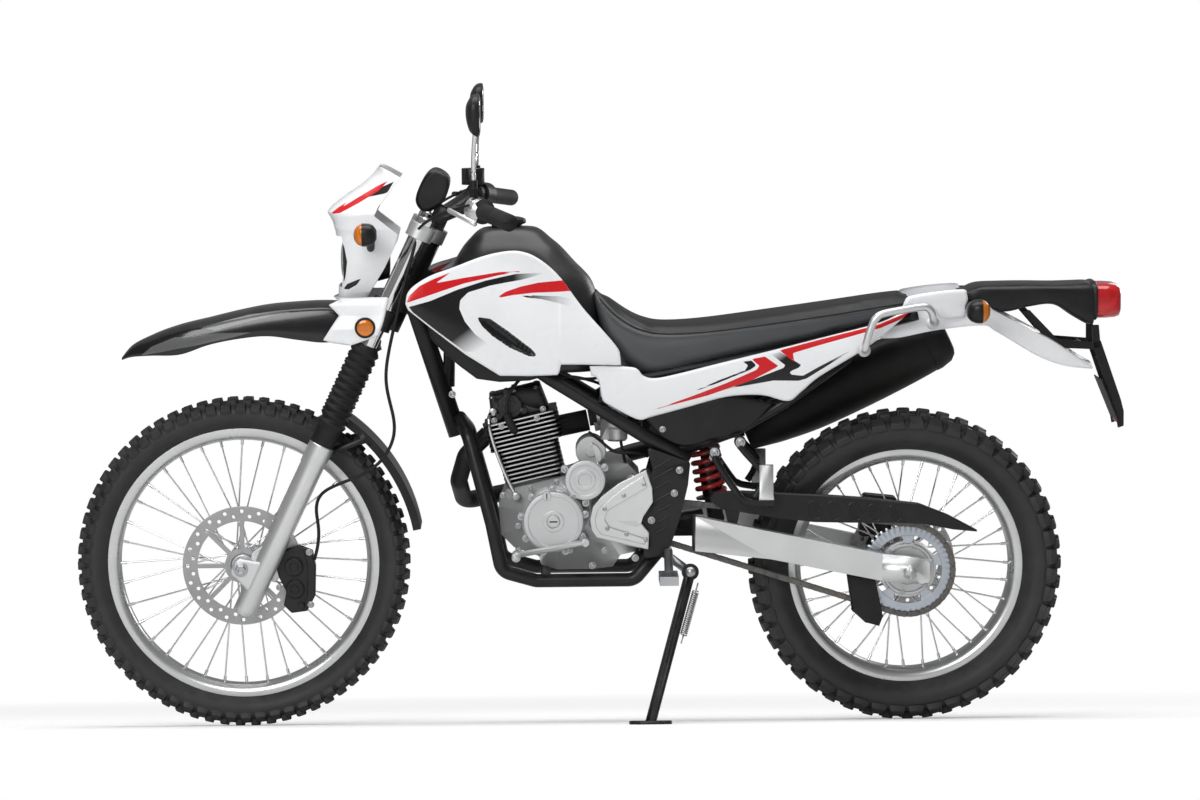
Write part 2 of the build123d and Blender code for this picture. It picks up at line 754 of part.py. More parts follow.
with BuildPart() as tank_cap:
    with BuildSketch(Plane.XY.offset(1027)):
        with Locations((-133, 0)):
            Circle(33)
    extrude(amount=10)
    with BuildSketch(Plane.XY.offset(1037)):
        with Locations((-133, 0)):
            Circle(40)
    extrude(amount=12)
finish(tank_cap, "fuel_cap")

shroud_outline = [
    (-338, 886), (-318, 917), (-251, 951), (-152, 982), (-118, 985), (-84, 973), (-53, 949), (20, 862), (90, 784),
    (93, 752), (-43, 760), (-143, 733), (-251, 804), (-332, 875),
]
shroud_band = [(-350, 190), (-250, 170), (-100, 146), (100, 134), (100, 128.3), (-100, 139), (-250, 163), (-350, 183)]
with BuildPart() as shroud_left:
    add(plate(shroud_outline, 100, 120, radius=3))
    with BuildSketch(Plane.XY.offset(650)):
        with BuildLine():
            Polyline(*((x, -y) for x, y in shroud_band), close=True)
        make_face()
    extrude(amount=400, mode=Mode.INTERSECT)
    for x, z, reach in ((-150, 890, 152), (0, 800, 138)):
        add(rod((x, -100, z), (x, -reach, z), 9))
    add(tank.part, mode=Mode.SUBTRACT)

with BuildPart() as shrouds:
    add(shroud_left.part)
    add(flipped(shroud_left.part))
finish(shrouds, "tank_shrouds")

seat_outline = [
    (48, 905), (62, 907), (119, 845), (166, 829), (269, 832), (480, 858), (680, 885), (700, 882), (677, 863),
    (601, 806), (269, 742), (176, 725), (136, 728), (70, 790),
]
with BuildPart() as seat:
    add(body_slab(seat_outline, seat_half, radius=3))
    with BuildSketch(Plane.XY.offset(650)):
        with BuildLine():
            Polyline(
                (40, -70), (180, -90), (330, -120), (520, -112), (710, -84),
                (710, 84), (520, 112), (330, 120), (180, 90), (40, 70), close=True,
            )
        make_face()
    extrude(amount=400, mode=Mode.INTERSECT)
    add(subframe.part, mode=Mode.SUBTRACT)
    add(tank.part, mode=Mode.SUBTRACT)
finish(seat, "seat")

front_cover_outline = [(26, 748), (121, 745), (162, 722), (231, 670), (153, 645), (131, 639), (60, 689), (49, 730)]
rear_cover_outline = [
    (146, 723), (231, 742), (414, 786), (617, 831), (676, 856), (584, 808), (427, 672), (316, 683), (231, 670),
    (166, 722),
]
low_panel_outline = [(143, 644), (218, 670), (317, 685), (405, 671), (350, 622), (225, 590), (196, 594)]
with BuildPart() as side_covers:
    for outline, start in ((front_cover_outline, 122), (rear_cover_outline, 116), (low_panel_outline, 106)):
        cover = plate(outline, start, panel_wall)
        add(cover)
        add(flipped(cover))
    for x, z, root, reach in ((105, 709, 88, 124), (330, 755, 88, 118), (520, 795, 84, 118), (250, 650, 80, 108)):
        for side in (-1, 1):
            add(rod((x, side * root, z), (x, side * reach, z), 7))
    add(subframe.part, mode=Mode.SUBTRACT)
    add(intake.part, mode=Mode.SUBTRACT)

with BuildPart() as tail_covers:
    cover = plate([(692, 887), (790, 896), (803, 880), (790, 840), (738, 834), (672, 868)], 76, 15)
    add(cover)
    add(flipped(cover))
    add(side_covers.part)
    add(seat.part, mode=Mode.SUBTRACT)
    add(subframe.part, mode=Mode.SUBTRACT)
finish(tail_covers, "side_and_tail_covers")

rear_fender_outline = [
    (560, 806), (690, 850), (800, 889), (833, 904), (899, 907), (1057, 906), (1064, 817), (1044, 810), (1011, 780),
    (978, 729), (930, 780), (826, 815), (740, 800),
]
with BuildPart() as rear_fender:
    add(body_slab(rear_fender_outline, 76, radius=5))
    add(subframe.part, mode=Mode.SUBTRACT)
    add(seat.part, mode=Mode.SUBTRACT)
finish(rear_fender, "rear_fender")

with BuildPart() as rear_lamps:
    add(body_slab([(1064, 830), (1120, 836), (1116, 896), (1058, 904)], 66, radius=3))
    for side in (-1, 1):
        add(rod((814, side * 60, 862), (814, side * 150, 862), 8))
        with BuildSketch(Plane(origin=(814, side * 150, 862), x_dir=(1, 0, 0), z_dir=(0, side, 0))):
            RectangleRounded(48, 52, 14)
        extrude(amount=52, taper=10)
    add(rear_fender.part, mode=Mode.SUBTRACT)
    add(tail_covers.part, mode=Mode.SUBTRACT)
    add(subframe.part, mode=Mode.SUBTRACT)
finish(rear_lamps, "rear_lamps")

with BuildPart() as plate_bracket:
    add(body_slab([(957, 780), (1046, 812), (1070, 775), (1062, 765), (1112, 648), (1102, 645), (996, 740)], 60))
    add(body_slab([(1098, 655), (1112, 648), (1126, 606), (1112, 604)], 40))
    add(rear_fender.part, mode=Mode.SUBTRACT)
finish(plate_bracket, "plate_bracket")

with BuildPart() as grab_bars:
    left_bar = tube([(588, -118, 777), (605, -140, 846), (715, -140, 866), (726, -106, 826)], 9, 14)
    add(left_bar)
    add(flipped(left_bar))
    add(tail_covers.part, mode=Mode.SUBTRACT)
finish(grab_bars, "grab_bars")

# ---------------------------------------------------------------- swingarm, rear end
arm_outline = [
    (238, 444), (434, 402), (624, 362), (700, 352), (722, 345), (722, 303), (700, 298), (624, 306), (562, 319),
    (398, 353), (238, 372),
]
with BuildPart() as swingarm:
    left_arm = plate(arm_outline, swingarm_inner, swingarm_arm, radius=6)
    add(left_arm)
    add(flipped(left_arm))
    add(rod((pivot_x, -plate_inner, pivot_z), (pivot_x, plate_inner, pivot_z), pivot_tube_radius))
    add(block(pivot_x, 262, -plate_inner + 1, plate_inner - 1, 400, 444))
    add(pivot_plates.part, mode=Mode.SUBTRACT)
    # The clamped axle with its spacers and nuts.
    arm_face = swingarm_inner + swingarm_arm
    add(rod(rear_axle - Vector(0, arm_face, 0), rear_axle + Vector(0, arm_face, 0), rear_axle_radius))
    for side in (-1, 1):
        add(rod(
            rear_axle + Vector(0, side * arm_face, 0), rear_axle + Vector(0, side * (arm_face + 12), 0), 15, sides=6
        ))
    add(rod(
        rear_axle - Vector(0, chain_place + 6 + seat_gap, 0), rear_axle - Vector(0, swingarm_inner, 0), 16
    ))
    add(rod(
        rear_axle + Vector(0, rear_hub_end + seat_gap, 0), rear_axle + Vector(0, swingarm_inner, 0), 16
    ))
finish(swingarm, "swingarm")

with BuildPart() as shock:
    shock_plane = Plane(origin=(292, 0, 420), z_dir=(-40, 0, 250))
    add(turned([(0, 0), (16, 0), (16, 40), (34, 44), (34, 200), (20, 206), (20, 250), (0, 250)], shock_plane))
    add(swingarm.part, mode=Mode.SUBTRACT)
    add(intake.part, mode=Mode.SUBTRACT)
finish(shock, "rear_shock")

with BuildPart() as chain:
    slope = atan2(front_sprocket.Z - rear_axle.Z, rear_axle.X - front_sprocket.X)
    spread = asin((rear_pitch_radius - front_pitch_radius) / chain_centres)
    with BuildSketch(Plane.XZ.offset(chain_place - chain_width / 2)):
        for grow, how in ((chain_height / 2, Mode.ADD), (-chain_height / 2, Mode.SUBTRACT)):
            rear_r = rear_pitch_radius + grow
            front_r = front_pitch_radius + grow
            with BuildLine():
                upper = pi / 2 - slope + spread
                lower = -pi / 2 - slope - spread
                rear_top = (rear_axle.X + rear_r * cos(upper), rear_axle.Z + rear_r * sin(upper))
                rear_low = (rear_axle.X + rear_r * cos(lower), rear_axle.Z + rear_r * sin(lower))
                front_top = (front_sprocket.X + front_r * cos(upper), front_sprocket.Z + front_r * sin(upper))
                front_low = (front_sprocket.X + front_r * cos(lower), front_sprocket.Z + front_r * sin(lower))
                Line(front_top, rear_top)
                ThreePointArc(
                    rear_top,
                    (rear_axle.X + rear_r * cos(slope), rear_axle.Z - rear_r * sin(slope)),
                    rear_low,
                )
                Line(rear_low, front_low)
                ThreePointArc(
                    front_low,
                    (front_sprocket.X - front_r * cos(slope), front_sprocket.Z + front_r * sin(slope)),
                    front_top,
                )
            make_face(mode=how)
    extrude(amount=chain_width)
    add(engine_cases.part, mode=Mode.SUBTRACT)
    add(swingarm.part, mode=Mode.SUBTRACT)
finish(chain, "chain")

with BuildPart() as chain_guard:
    add(plate(
        [
            (270, 494), (713, 462), (824, 409), (796, 399), (698, 436), (574, 440), (435, 452), (300, 470),
        ], 92, 8, radius=3
    ))
    add(plate([(300, 470), (340, 466), (330, 420), (312, 420)], swingarm_inner + 1, 8))
    add(plate([(560, 442), (620, 440), (600, 366), (580, 366)], swingarm_inner - 3, 3))
    add(swingarm.part, mode=Mode.SUBTRACT)
finish(chain_guard, "chain_guard")

with BuildPart() as rear_caliper:
    add(plate([(590, 372), (660, 372), (672, 452), (600, 460)], -96, 40, radius=8))
    with BuildSketch(Plane.XZ.shift_origin((rear_axle.X, 0, rear_axle.Z)).offset(-rear_disc_place - 4.5)):
        Circle(rear_disc_radius + 5)
    extrude(amount=9, mode=Mode.SUBTRACT)
    add(block(604, 648, 86, 118, 350, 400))
    add(swingarm.part, mode=Mode.SUBTRACT)
finish(rear_caliper, "rear_brake_caliper")

# ---------------------------------------------------------------- rests and controls
with BuildPart() as rider_pegs:
    for side in (-1, 1):
        add(rod((189, side * (plate_inner + plate_thickness), 372), (189, side * 150, 330), 9))
        add(block(168, 206, min(side * 150, side * 235), max(side * 150, side * 235), 318, 336))
    add(pivot_plates.part, mode=Mode.SUBTRACT)
finish(rider_pegs, "rider_pegs")

with BuildPart() as foot_controls:
    add(rod((20, -150, 395), (-120, -158, 372), 6))
    add(rod((20, -78, 395), (20, -156, 395), 8))
    add(rod((-120, -150, 372), (-120, -196, 372), 9))
    add(rod((150, 118, 372), (150, 160, 372), 9))
    add(rod((150, 154, 372), (-60, 170, 350), 7))
    add(block(-86, -50, 150, 200, 344, 358))
    add(engine_cases.part, mode=Mode.SUBTRACT)
    add(pivot_plates.part, mode=Mode.SUBTRACT)
finish(foot_controls, "foot_controls")

passenger_hinge_x = 388
passenger_hinge_z = 478
passenger_hinge_y = 136
with BuildPart() as passenger_brackets:
    bracket = plate([(285, 590), (340, 622), (400, 500), (400, 462), (372, 462)], 106, 10, radius=5)
    add(bracket)
    add(flipped(bracket))
    for side in (-1, 1):
        hinge = (passenger_hinge_x, side * passenger_hinge_y, passenger_hinge_z)
        add(rod((passenger_hinge_x - 22, hinge[1], hinge[2]), (passenger_hinge_x + 22, hinge[1], hinge[2]), 4))
        for x in (passenger_hinge_x - 22, passenger_hinge_x + 16):
            add(block(x, x + 6, min(side * 116, side * 146), max(side * 116, side * 146), 468, 488))
    add(subframe.part, mode=Mode.SUBTRACT)
    add(side_covers.part, mode=Mode.SUBTRACT)
    add(muffler.part, mode=Mode.SUBTRACT)
finish(passenger_brackets, "passenger_peg_brackets")

for side, name in ((-1, "left_passenger_peg"), (1, "right_passenger_peg")):
    y = side * passenger_hinge_y
    with BuildPart() as passenger_peg:
        add(rod((passenger_hinge_x - 15, y, passenger_hinge_z), (passenger_hinge_x + 15, y, passenger_hinge_z), 9))
        add(block(passenger_hinge_x - 14, passenger_hinge_x + 14, y - 8, y + 8, passenger_hinge_z, passenger_hinge_z + 70))
        with BuildSketch(Plane.YZ.offset(0)):
            with Locations((y, passenger_hinge_z)):
                Circle(4 + fit)
        extrude(amount=600, mode=Mode.SUBTRACT)
    finish(passenger_peg, name)

# ---------------------------------------------------------------- side stand
stand_axis = Vector(0, -1, 0.154).normalized()
stand_pivot = Vector(stand_x, stand_y, stand_z)
ground_gap = (stand_pivot - ground.origin).dot(ground.z_dir)
foot_thickness = 7
stand_boss = 14
foot_out = 88
# The foot's centre: on the ground, at the stand's reach from the pivot.
side_step = stand_pivot - ground.z_dir * ground_gap - Vector(0, foot_out, 0)
side_step = side_step - ground.z_dir * (side_step - ground.origin).dot(ground.z_dir)
forward = sqrt(stand_reach**2 - (side_step - stand_pivot).length ** 2)
foot_centre = side_step - ground.x_dir * forward
stand_plane = Plane(origin=stand_pivot, z_dir=stand_axis)
with BuildPart() as side_stand:
    add(rod(stand_pivot - stand_axis * stand_boss, stand_pivot + stand_axis * stand_boss, 17))
    leg_start = stand_pivot + (foot_centre - stand_pivot) * 0.045
    add(rod(leg_start, foot_centre + ground.z_dir * foot_thickness / 2, 11))
    with BuildSketch(Plane(origin=foot_centre, x_dir=ground.x_dir, z_dir=ground.z_dir)):
        SlotOverall(86, 44)
    extrude(amount=foot_thickness)
    with BuildSketch(Plane(origin=foot_centre, x_dir=ground.x_dir, z_dir=ground.z_dir * -1)):
        Rectangle(300, 300)
    extrude(amount=40, mode=Mode.SUBTRACT)
    with BuildSketch(Plane(origin=stand_pivot - stand_axis * 40, z_dir=stand_axis)):
        Circle(6 + fit)
    extrude(amount=80, mode=Mode.SUBTRACT)
finish(side_stand, "side_stand")

with BuildPart() as stand_bracket:
    stand_back = stand_boss + 10
    add(rod(stand_pivot - stand_axis * stand_back, stand_pivot - stand_axis * (stand_boss + seat_gap), 17))
    add(rod(stand_pivot - stand_axis * stand_back, stand_pivot + stand_axis * stand_back, 6))
    add(rod(stand_pivot + stand_axis * (stand_boss + seat_gap), stand_pivot + stand_axis * stand_back, 10))
    add(rod((172, -106, 372), stand_pivot - stand_axis * (stand_boss + 11), 9))
    add(pivot_plates.part, mode=Mode.SUBTRACT)
    add(cradle.part, mode=Mode.SUBTRACT)
    add(swingarm.part, mode=Mode.SUBTRACT)
    add(rider_pegs.part, mode=Mode.SUBTRACT)
finish(stand_bracket, "side_stand_bracket")

# ---------------------------------------------------------------- written parked
os.makedirs("parts", exist_ok=True)
for piece in finished:
    label = piece.label
    placed = parked * piece
    placed.label = label
    export_step(placed, f"parts/{label}.step")
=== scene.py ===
import bmesh
import bpy
import json
import numpy as np
from math import atan2, cos, pi, radians, sin
from mathutils import Matrix, Vector


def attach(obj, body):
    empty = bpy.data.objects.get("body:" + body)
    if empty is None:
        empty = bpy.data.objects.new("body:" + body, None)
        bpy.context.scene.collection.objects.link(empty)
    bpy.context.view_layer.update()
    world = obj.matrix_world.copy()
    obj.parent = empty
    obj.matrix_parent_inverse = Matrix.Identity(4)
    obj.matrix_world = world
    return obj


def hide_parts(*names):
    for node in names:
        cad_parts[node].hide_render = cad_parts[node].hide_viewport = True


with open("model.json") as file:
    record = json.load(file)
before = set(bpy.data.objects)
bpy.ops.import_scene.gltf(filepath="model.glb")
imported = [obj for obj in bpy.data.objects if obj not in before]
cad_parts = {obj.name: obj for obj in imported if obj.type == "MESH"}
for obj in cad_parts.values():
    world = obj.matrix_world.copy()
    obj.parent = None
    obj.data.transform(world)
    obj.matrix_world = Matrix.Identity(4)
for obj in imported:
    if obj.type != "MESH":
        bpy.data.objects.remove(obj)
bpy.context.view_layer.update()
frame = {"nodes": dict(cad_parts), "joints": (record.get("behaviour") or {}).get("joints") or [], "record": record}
print("frame loaded")

scene = bpy.context.scene
scene.view_settings.view_transform = "Standard"

# The machine is measured upright, X to the rear, Y to its right, Z up, in millimetres, and parked leaning on
# its stand.
machine = {"frontAxle": (-680, 0, 342), "rearAxle": (680, 0, 323), "forkRake": 25.5, "axleLead": 43}

joints = {joint["name"]: joint for joint in frame["joints"]}
frontHub = np.array(joints["front_wheel_spin"]["pos_m"])
rearHub = np.array(joints["rear_wheel_spin"]["pos_m"])
acrossAxis = np.array(joints["front_wheel_spin"]["axis"])
acrossAxis = acrossAxis / np.linalg.norm(acrossAxis)
hubLine = (rearHub - frontHub) / np.linalg.norm(rearHub - frontHub)
hubUp = np.cross(hubLine, acrossAxis)
hubSlope = atan2(
    machine["frontAxle"][2] - machine["rearAxle"][2], machine["rearAxle"][0] - machine["frontAxle"][0]
)
alongAxis = cos(hubSlope) * hubLine + sin(hubSlope) * hubUp
upAxis = -sin(hubSlope) * hubLine + cos(hubSlope) * hubUp
machineAxes = np.array([alongAxis, acrossAxis, upAxis])
machineOrigin = frontHub - np.array(machine["frontAxle"]) / 1000 @ machineAxes


def parked(points):
    # a point's place in the row frame is the machine's origin plus its three measures along the leaning axes
    return machineOrigin + np.asarray(points, float) / 1000 @ machineAxes


def upright(points):
    # the measures of a point along the leaning axes, in millimetres
    return (np.asarray(points, float) - machineOrigin) @ machineAxes.T * 1000


# ---- meshes from arrays


def placesOf(x, y, z):
    # a grid or list of places from its three measures, each a number or an array
    return np.stack(np.broadcast_arrays(x, y, z), -1).astype(float)


def newMesh(name, points, *faceSets, smooth=True):
    # every set of faces is an array with one row for a face, and each set has its own number of corners
    mesh = bpy.data.meshes.new(name)
    points = np.asarray(points, float).reshape(-1, 3)
    faceSets = [np.asarray(faces, np.int32) for faces in faceSets if len(faces)]
    corners = np.concatenate([faces.ravel() for faces in faceSets])
    sizes = np.concatenate([np.full(len(faces), faces.shape[1]) for faces in faceSets])
    mesh.vertices.add(len(points))
    mesh.vertices.foreach_set("co", points.astype(np.float32).ravel())
    mesh.loops.add(len(corners))
    mesh.loops.foreach_set("vertex_index", corners.astype(np.int32))
    mesh.polygons.add(len(sizes))
    mesh.polygons.foreach_set("loop_start", np.concatenate([[0], np.cumsum(sizes)[:-1]]).astype(np.int32))
    mesh.polygons.foreach_set("use_smooth", np.full(len(sizes), smooth))
    mesh.update(calc_edges=True)
    return mesh


def gridQuads(rows, columns, closedRows=False, closedColumns=False):
    # each quad joins a point to its next along the row, the one across, and the next below it
    row = np.arange(rows if closedRows else rows - 1)
    column = np.arange(columns if closedColumns else columns - 1)
    row, column = np.meshgrid(row, column, indexing="ij")
    nextRow, nextColumn = (row + 1) % rows, (column + 1) % columns
    corners = [
        row * columns + column, nextRow * columns + column, nextRow * columns + nextColumn,
        row * columns + nextColumn
    ]
    return np.stack(corners, -1).reshape(-1, 4)


def smoothLine(points, count, closed=False):
    # each span is a cubic through its two ends, and leaves each end along the line between that end's
    # neighbours
    points = np.asarray(points, float)
    spans = len(points) if closed else len(points) - 1
    place = np.linspace(0, spans, count, endpoint=not closed)
    start = np.minimum(place.astype(int), spans - 1)
    part = (place - start)[:, None]

    def at(step):
        index = start + step
        return points[index % len(points)] if closed else points[np.clip(index, 0, len(points) - 1)]

    before, first, second, after = at(-1), at(0), at(1), at(2)
    square = 2 * before - 5 * first + 4 * second - after
    cube = 3 * first - before - 3 * second + after
    return 0.5 * (2 * first + (second - before) * part + square * part**2 + cube * part**3)


def evenLine(points, count):
    # straight between the points, at even steps along the whole length
    points = np.asarray(points, float)
    reach = np.concatenate([[0], np.cumsum(np.linalg.norm(np.diff(points, axis=0), axis=1))])
    place = np.linspace(0, reach[-1], count)
    return np.stack([np.interp(place, reach, points[:, axis]) for axis in range(points.shape[1])], -1)


def signedDistance(places, outline):
    # the distance to the nearest side of an outline, less than nothing where a ray crosses the outline an odd
    # number of times
    start = np.asarray(outline, float)
    end = np.roll(start, -1, 0)
    side = end - start
    away = places[:, None, :] - start[None]
    share = np.clip((away * side).sum(-1) / (side**2).sum(-1), 0, 1)
    distance = np.linalg.norm(away - share[..., None] * side, axis=-1).min(1)
    level = places[:, 1:2]
    rise = np.where(side[:, 1] == 0, 1e-9, side[:, 1])
    crossed = start[:, 0] + (level - start[:, 1]) / rise * side[:, 0]
    crosses = ((start[:, 1] > level) != (end[:, 1] > level)) & (places[:, 0:1] < crossed)
    return np.where(crosses.sum(1) % 2 == 1, -distance, distance)


def turnedShape(profile, sides):
    # a profile of (height, radius) turned round its own z axis, with a flat face on each end
    profile = np.asarray(profile, float)
    angle = np.linspace(0, 2 * pi, sides, endpoint=False)
    height, radius = profile[:, :1], profile[:, 1:]
    points = np.stack(
        np.broadcast_arrays(radius * np.cos(angle), radius * np.sin(angle), height), -1
    ).reshape(-1, 3)
    quads = gridQuads(len(profile), sides, False, True)[:, ::-1]
    ring = np.arange(sides)
    return points, quads, ring[None, ::-1], (ring + (len(profile) - 1) * sides)[None]


def slabShape(outline, low, high):
    # an outline in x and y, drawn out along z
    outline = np.asarray(outline, float)
    count = len(outline)
    points = np.concatenate([np.column_stack([outline, np.full(count, level)]) for level in (low, high)])
    ring = np.arange(count)
    quads = np.stack([ring, (ring + 1) % count, (ring + 1) % count + count, ring + count], -1)
    return points, quads, ring[None, ::-1], (ring + count)[None]


def repeated(shape, places, turns):
    # the same small shape at every place, turned by its own three axes or by the same ones throughout
    points, *faceSets = shape
    places = np.asarray(places, float)
    turns = np.broadcast_to(turns, (len(places), 3, 3))
    placed = np.einsum("pc,ncd->npd", points, turns) + places[:, None, :]
    step = np.arange(len(places))[:, None, None] * len(points)
    return (placed.reshape(-1, 3), *[(faces[None] + step).reshape(-1, faces.shape[1]) for faces in faceSets])


def joined(*shapes):
    # several shapes as one list of points and of face sets
    points, faceSets, step = [], [], 0
    for shapePoints, *sets in shapes:
        points.append(shapePoints)
        faceSets += [faces + step for faces in sets]
        step += len(shapePoints)
    return (np.concatenate(points), *faceSets)


def axesAlong(directions, hint=(0, 0, 1)):
    # three square axes for each direction, with the third one along it
    directions = np.atleast_2d(np.asarray(directions, float))
    third = directions / np.linalg.norm(directions, axis=1, keepdims=True)
    near = np.abs(third @ np.asarray(hint, float)) > 0.97
    helper = np.where(near[:, None], np.array([1.0, 0, 0]), np.asarray(hint, float))
    first = np.cross(helper, third)
    first = first / np.linalg.norm(first, axis=1, keepdims=True)
    return np.stack([first, np.cross(third, first), third], 1)


def rodsBetween(starts, ends, radius, sides=10):
    # a straight round bar from each start to its end
    starts, ends = np.atleast_2d(np.asarray(starts, float)), np.atleast_2d(np.asarray(ends, float))
    length = np.linalg.norm(ends - starts, axis=1)
    axes = axesAlong(ends - starts)
    axes[:, 2] *= length[:, None]
    return repeated(turnedShape([(0, radius), (1, radius)], sides), starts, axes)


def tubeAlong(path, radius, sides=16):
    # a circle carried along the path, each ring square to the line between its neighbours
    path = np.asarray(path, float)
    along = np.gradient(path, axis=0)
    along /= np.linalg.norm(along, axis=1, keepdims=True)
    across = np.cross(along, np.array([0.0, 0.02, 1.0]))
    weak = np.linalg.norm(across, axis=1) < 0.15
    across[weak] = np.cross(along[weak], np.array([1.0, 0, 0.05]))
    across /= np.linalg.norm(across, axis=1, keepdims=True)
    third = np.cross(along, across)
    angle = np.linspace(0, 2 * pi, sides, endpoint=False)[None, :, None]
    radius = np.broadcast_to(np.asarray(radius, float), len(path))[:, None, None]
    points = path[:, None] + radius * (np.cos(angle) * across[:, None] + np.sin(angle) * third[:, None])
    ring = np.arange(sides)
    caps = ring[None], (ring + (len(path) - 1) * sides)[None, ::-1]
    return (points.reshape(-1, 3), gridQuads(len(path), sides, False, True), *caps)


def squaredCircle(angle, bend):
    # a circle's two measures drawn out towards its corners: the smaller the bend, the squarer it is
    return [np.sign(measure) * np.abs(measure) ** bend for measure in (np.cos(angle), np.sin(angle))]


def loftedBody(centre, wide, tall, columns=48, power=2.6):
    # rings of a rounded box: each has a centre and two half sizes with their directions, and is a
    # superellipse
    angle = np.linspace(0, 2 * pi, columns, endpoint=False)[None, :, None]
    bend = 2 / power
    first, second = squaredCircle(angle, bend)
    points = centre[:, None] + first * wide[:, None] + second * tall[:, None]
    ring = np.arange(columns)
    caps = ring[None, ::-1], (ring + (len(centre) - 1) * columns)[None]
    return (points.reshape(-1, 3), gridQuads(len(centre), columns, False, True)[:, ::-1], *caps)


def shown(name, mesh, body, material, slot, *nodes, sharp=35):
    piece = bpy.data.objects.new(name, mesh)
    scene.collection.objects.link(piece)
    mesh.materials.clear()
    for each in material if isinstance(material, (list, tuple)) else [material]:
        mesh.materials.append(each)
    if sharp:
        mesh.set_sharp_from_angle(angle=radians(sharp))
    if nodes:
        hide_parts(*nodes)
    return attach(piece, body)


def squared(piece, recalculate=True):
    # doubles merged and the faces turned outwards
    work = bmesh.new()
    work.from_mesh(piece.data)
    bmesh.ops.remove_doubles(work, verts=work.verts, dist=0.00001)
    if recalculate:
        bmesh.ops.recalc_face_normals(work, faces=work.faces)
    work.to_mesh(piece.data)
    work.free()
    return piece


def build(name, shape, body, finish, slot, *nodes, sharp=35, bevel=0):
    # a piece in the machine's own millimetres
    points, *faceSets = shape
    mesh = newMesh(name, parked(points), *faceSets)
    piece = shown(name, mesh, body, made[finish], slot, *nodes, sharp=0)
    squared(piece)
    if sharp:
        mesh.set_sharp_from_angle(angle=radians(sharp))
    if bevel:
        rounding = piece.modifiers.new("rounding", "BEVEL")
        rounding.width = bevel / 1000
        rounding.segments = 2
        rounding.angle_limit = radians(40)
        rounding.harden_normals = False
    return piece


def stand(name, shape, node, finish, slot=None, **given):
    # a piece that takes the place of one of the model's own nodes, on the same body
    return build(name, shape, bodyOf[node], finish, slot or slotOf[node], node, **given)


def sheetPiece(name, outer, inner, body, finish, slot, *nodes, fields=None, sharp=48):
    # a thin shell from the grids of its outer and inner faces
    points, quads = closedSheet(outer.reshape(-1, 3), inner.reshape(-1, 3), *outer.shape[:2])
    mesh = newMesh(name, parked(points), quads)
    piece = shown(name, mesh, body, made[finish], slot, *nodes, sharp=0)
    keepFields(piece, fields or {})
    squared(piece)
    mesh.set_sharp_from_angle(angle=radians(sharp))
    return piece


# ---- shared shader effects


def groupSockets(name, takes, gives):
    group = bpy.data.node_groups.new(name, "ShaderNodeTree")
    for label, kind, value in takes:
        socket = group.interface.new_socket(label, in_out="INPUT", socket_type=kind)
        if value is not None:
            socket.default_value = value
    for label, kind in gives:
        group.interface.new_socket(label, in_out="OUTPUT", socket_type=kind)
    return group, group.nodes.new("NodeGroupInput"), group.nodes.new("NodeGroupOutput")


def feed(tree, node, inputs):
    # each input is set to a number or a colour, or linked to another node's output
    for key, value in inputs.items():
        if isinstance(value, bpy.types.NodeSocket):
            tree.links.new(value, node.inputs[key])
        else:
            node.inputs[key].default_value = value
    return node


def addNode(tree, kind, inputs=None, **settings):
    node = tree.nodes.new("ShaderNode" + kind)
    for key, value in settings.items():
        setattr(node, key, value)
    return feed(tree, node, inputs or {})


def mathNode(tree, operation, first, second=None, clamp=False):
    inputs = {0: first} if second is None else {0: first, 1: second}
    return addNode(tree, "Math", inputs, operation=operation, use_clamp=clamp).outputs[0]


def mixColour(tree, amount, first, second):
    first, second = ((*tone, 1) if isinstance(tone, tuple) else tone for tone in (first, second))
    return addNode(tree, "Mix", {0: amount, 6: first, 7: second}, data_type="RGBA").outputs[2]


def rangeNode(tree, value, fromLow, fromHigh, toLow=0, toHigh=1):
    return addNode(tree, "MapRange", {0: value, 1: fromLow, 2: fromHigh, 3: toLow, 4: toHigh}).outputs[0]


def objectPlace(tree):
    return addNode(tree, "TexCoord").outputs["Object"]


def edgeWearGroup():
    # where the surface turns within the radius, its softened normal leaves the true one, and a noise breaks
    # the wear up
    group, takes, gives = groupSockets(
        "edge wear",
        [
            ("Radius", "NodeSocketFloat", 0.0015), ("Amount", "NodeSocketFloat", 0.5),
            ("Scale", "NodeSocketFloat", 120.0)
        ],
        [("Mask", "NodeSocketFloat"), ("Normal", "NodeSocketVector")],
    )
    bevel = addNode(group, "Bevel", {"Radius": takes.outputs["Radius"]}, samples=4)
    normal = addNode(group, "NewGeometry").outputs["Normal"]
    dot = addNode(group, "VectorMath", {0: bevel.outputs[0], 1: normal}, operation="DOT_PRODUCT")
    turn = rangeNode(group, dot.outputs["Value"], 0.995, 0.8)
    noise = addNode(group, "TexNoise", {"Vector": objectPlace(group), "Scale": takes.outputs["Scale"]})
    broken = rangeNode(group, noise.outputs["Fac"], 0.42, 0.62)
    worn = mathNode(group, "MULTIPLY", turn, broken)
    worn = mathNode(group, "MULTIPLY", worn, takes.outputs["Amount"], clamp=True)
    group.links.new(worn, gives.inputs["Mask"])
    group.links.new(bevel.outputs[0], gives.inputs["Normal"])
    return group


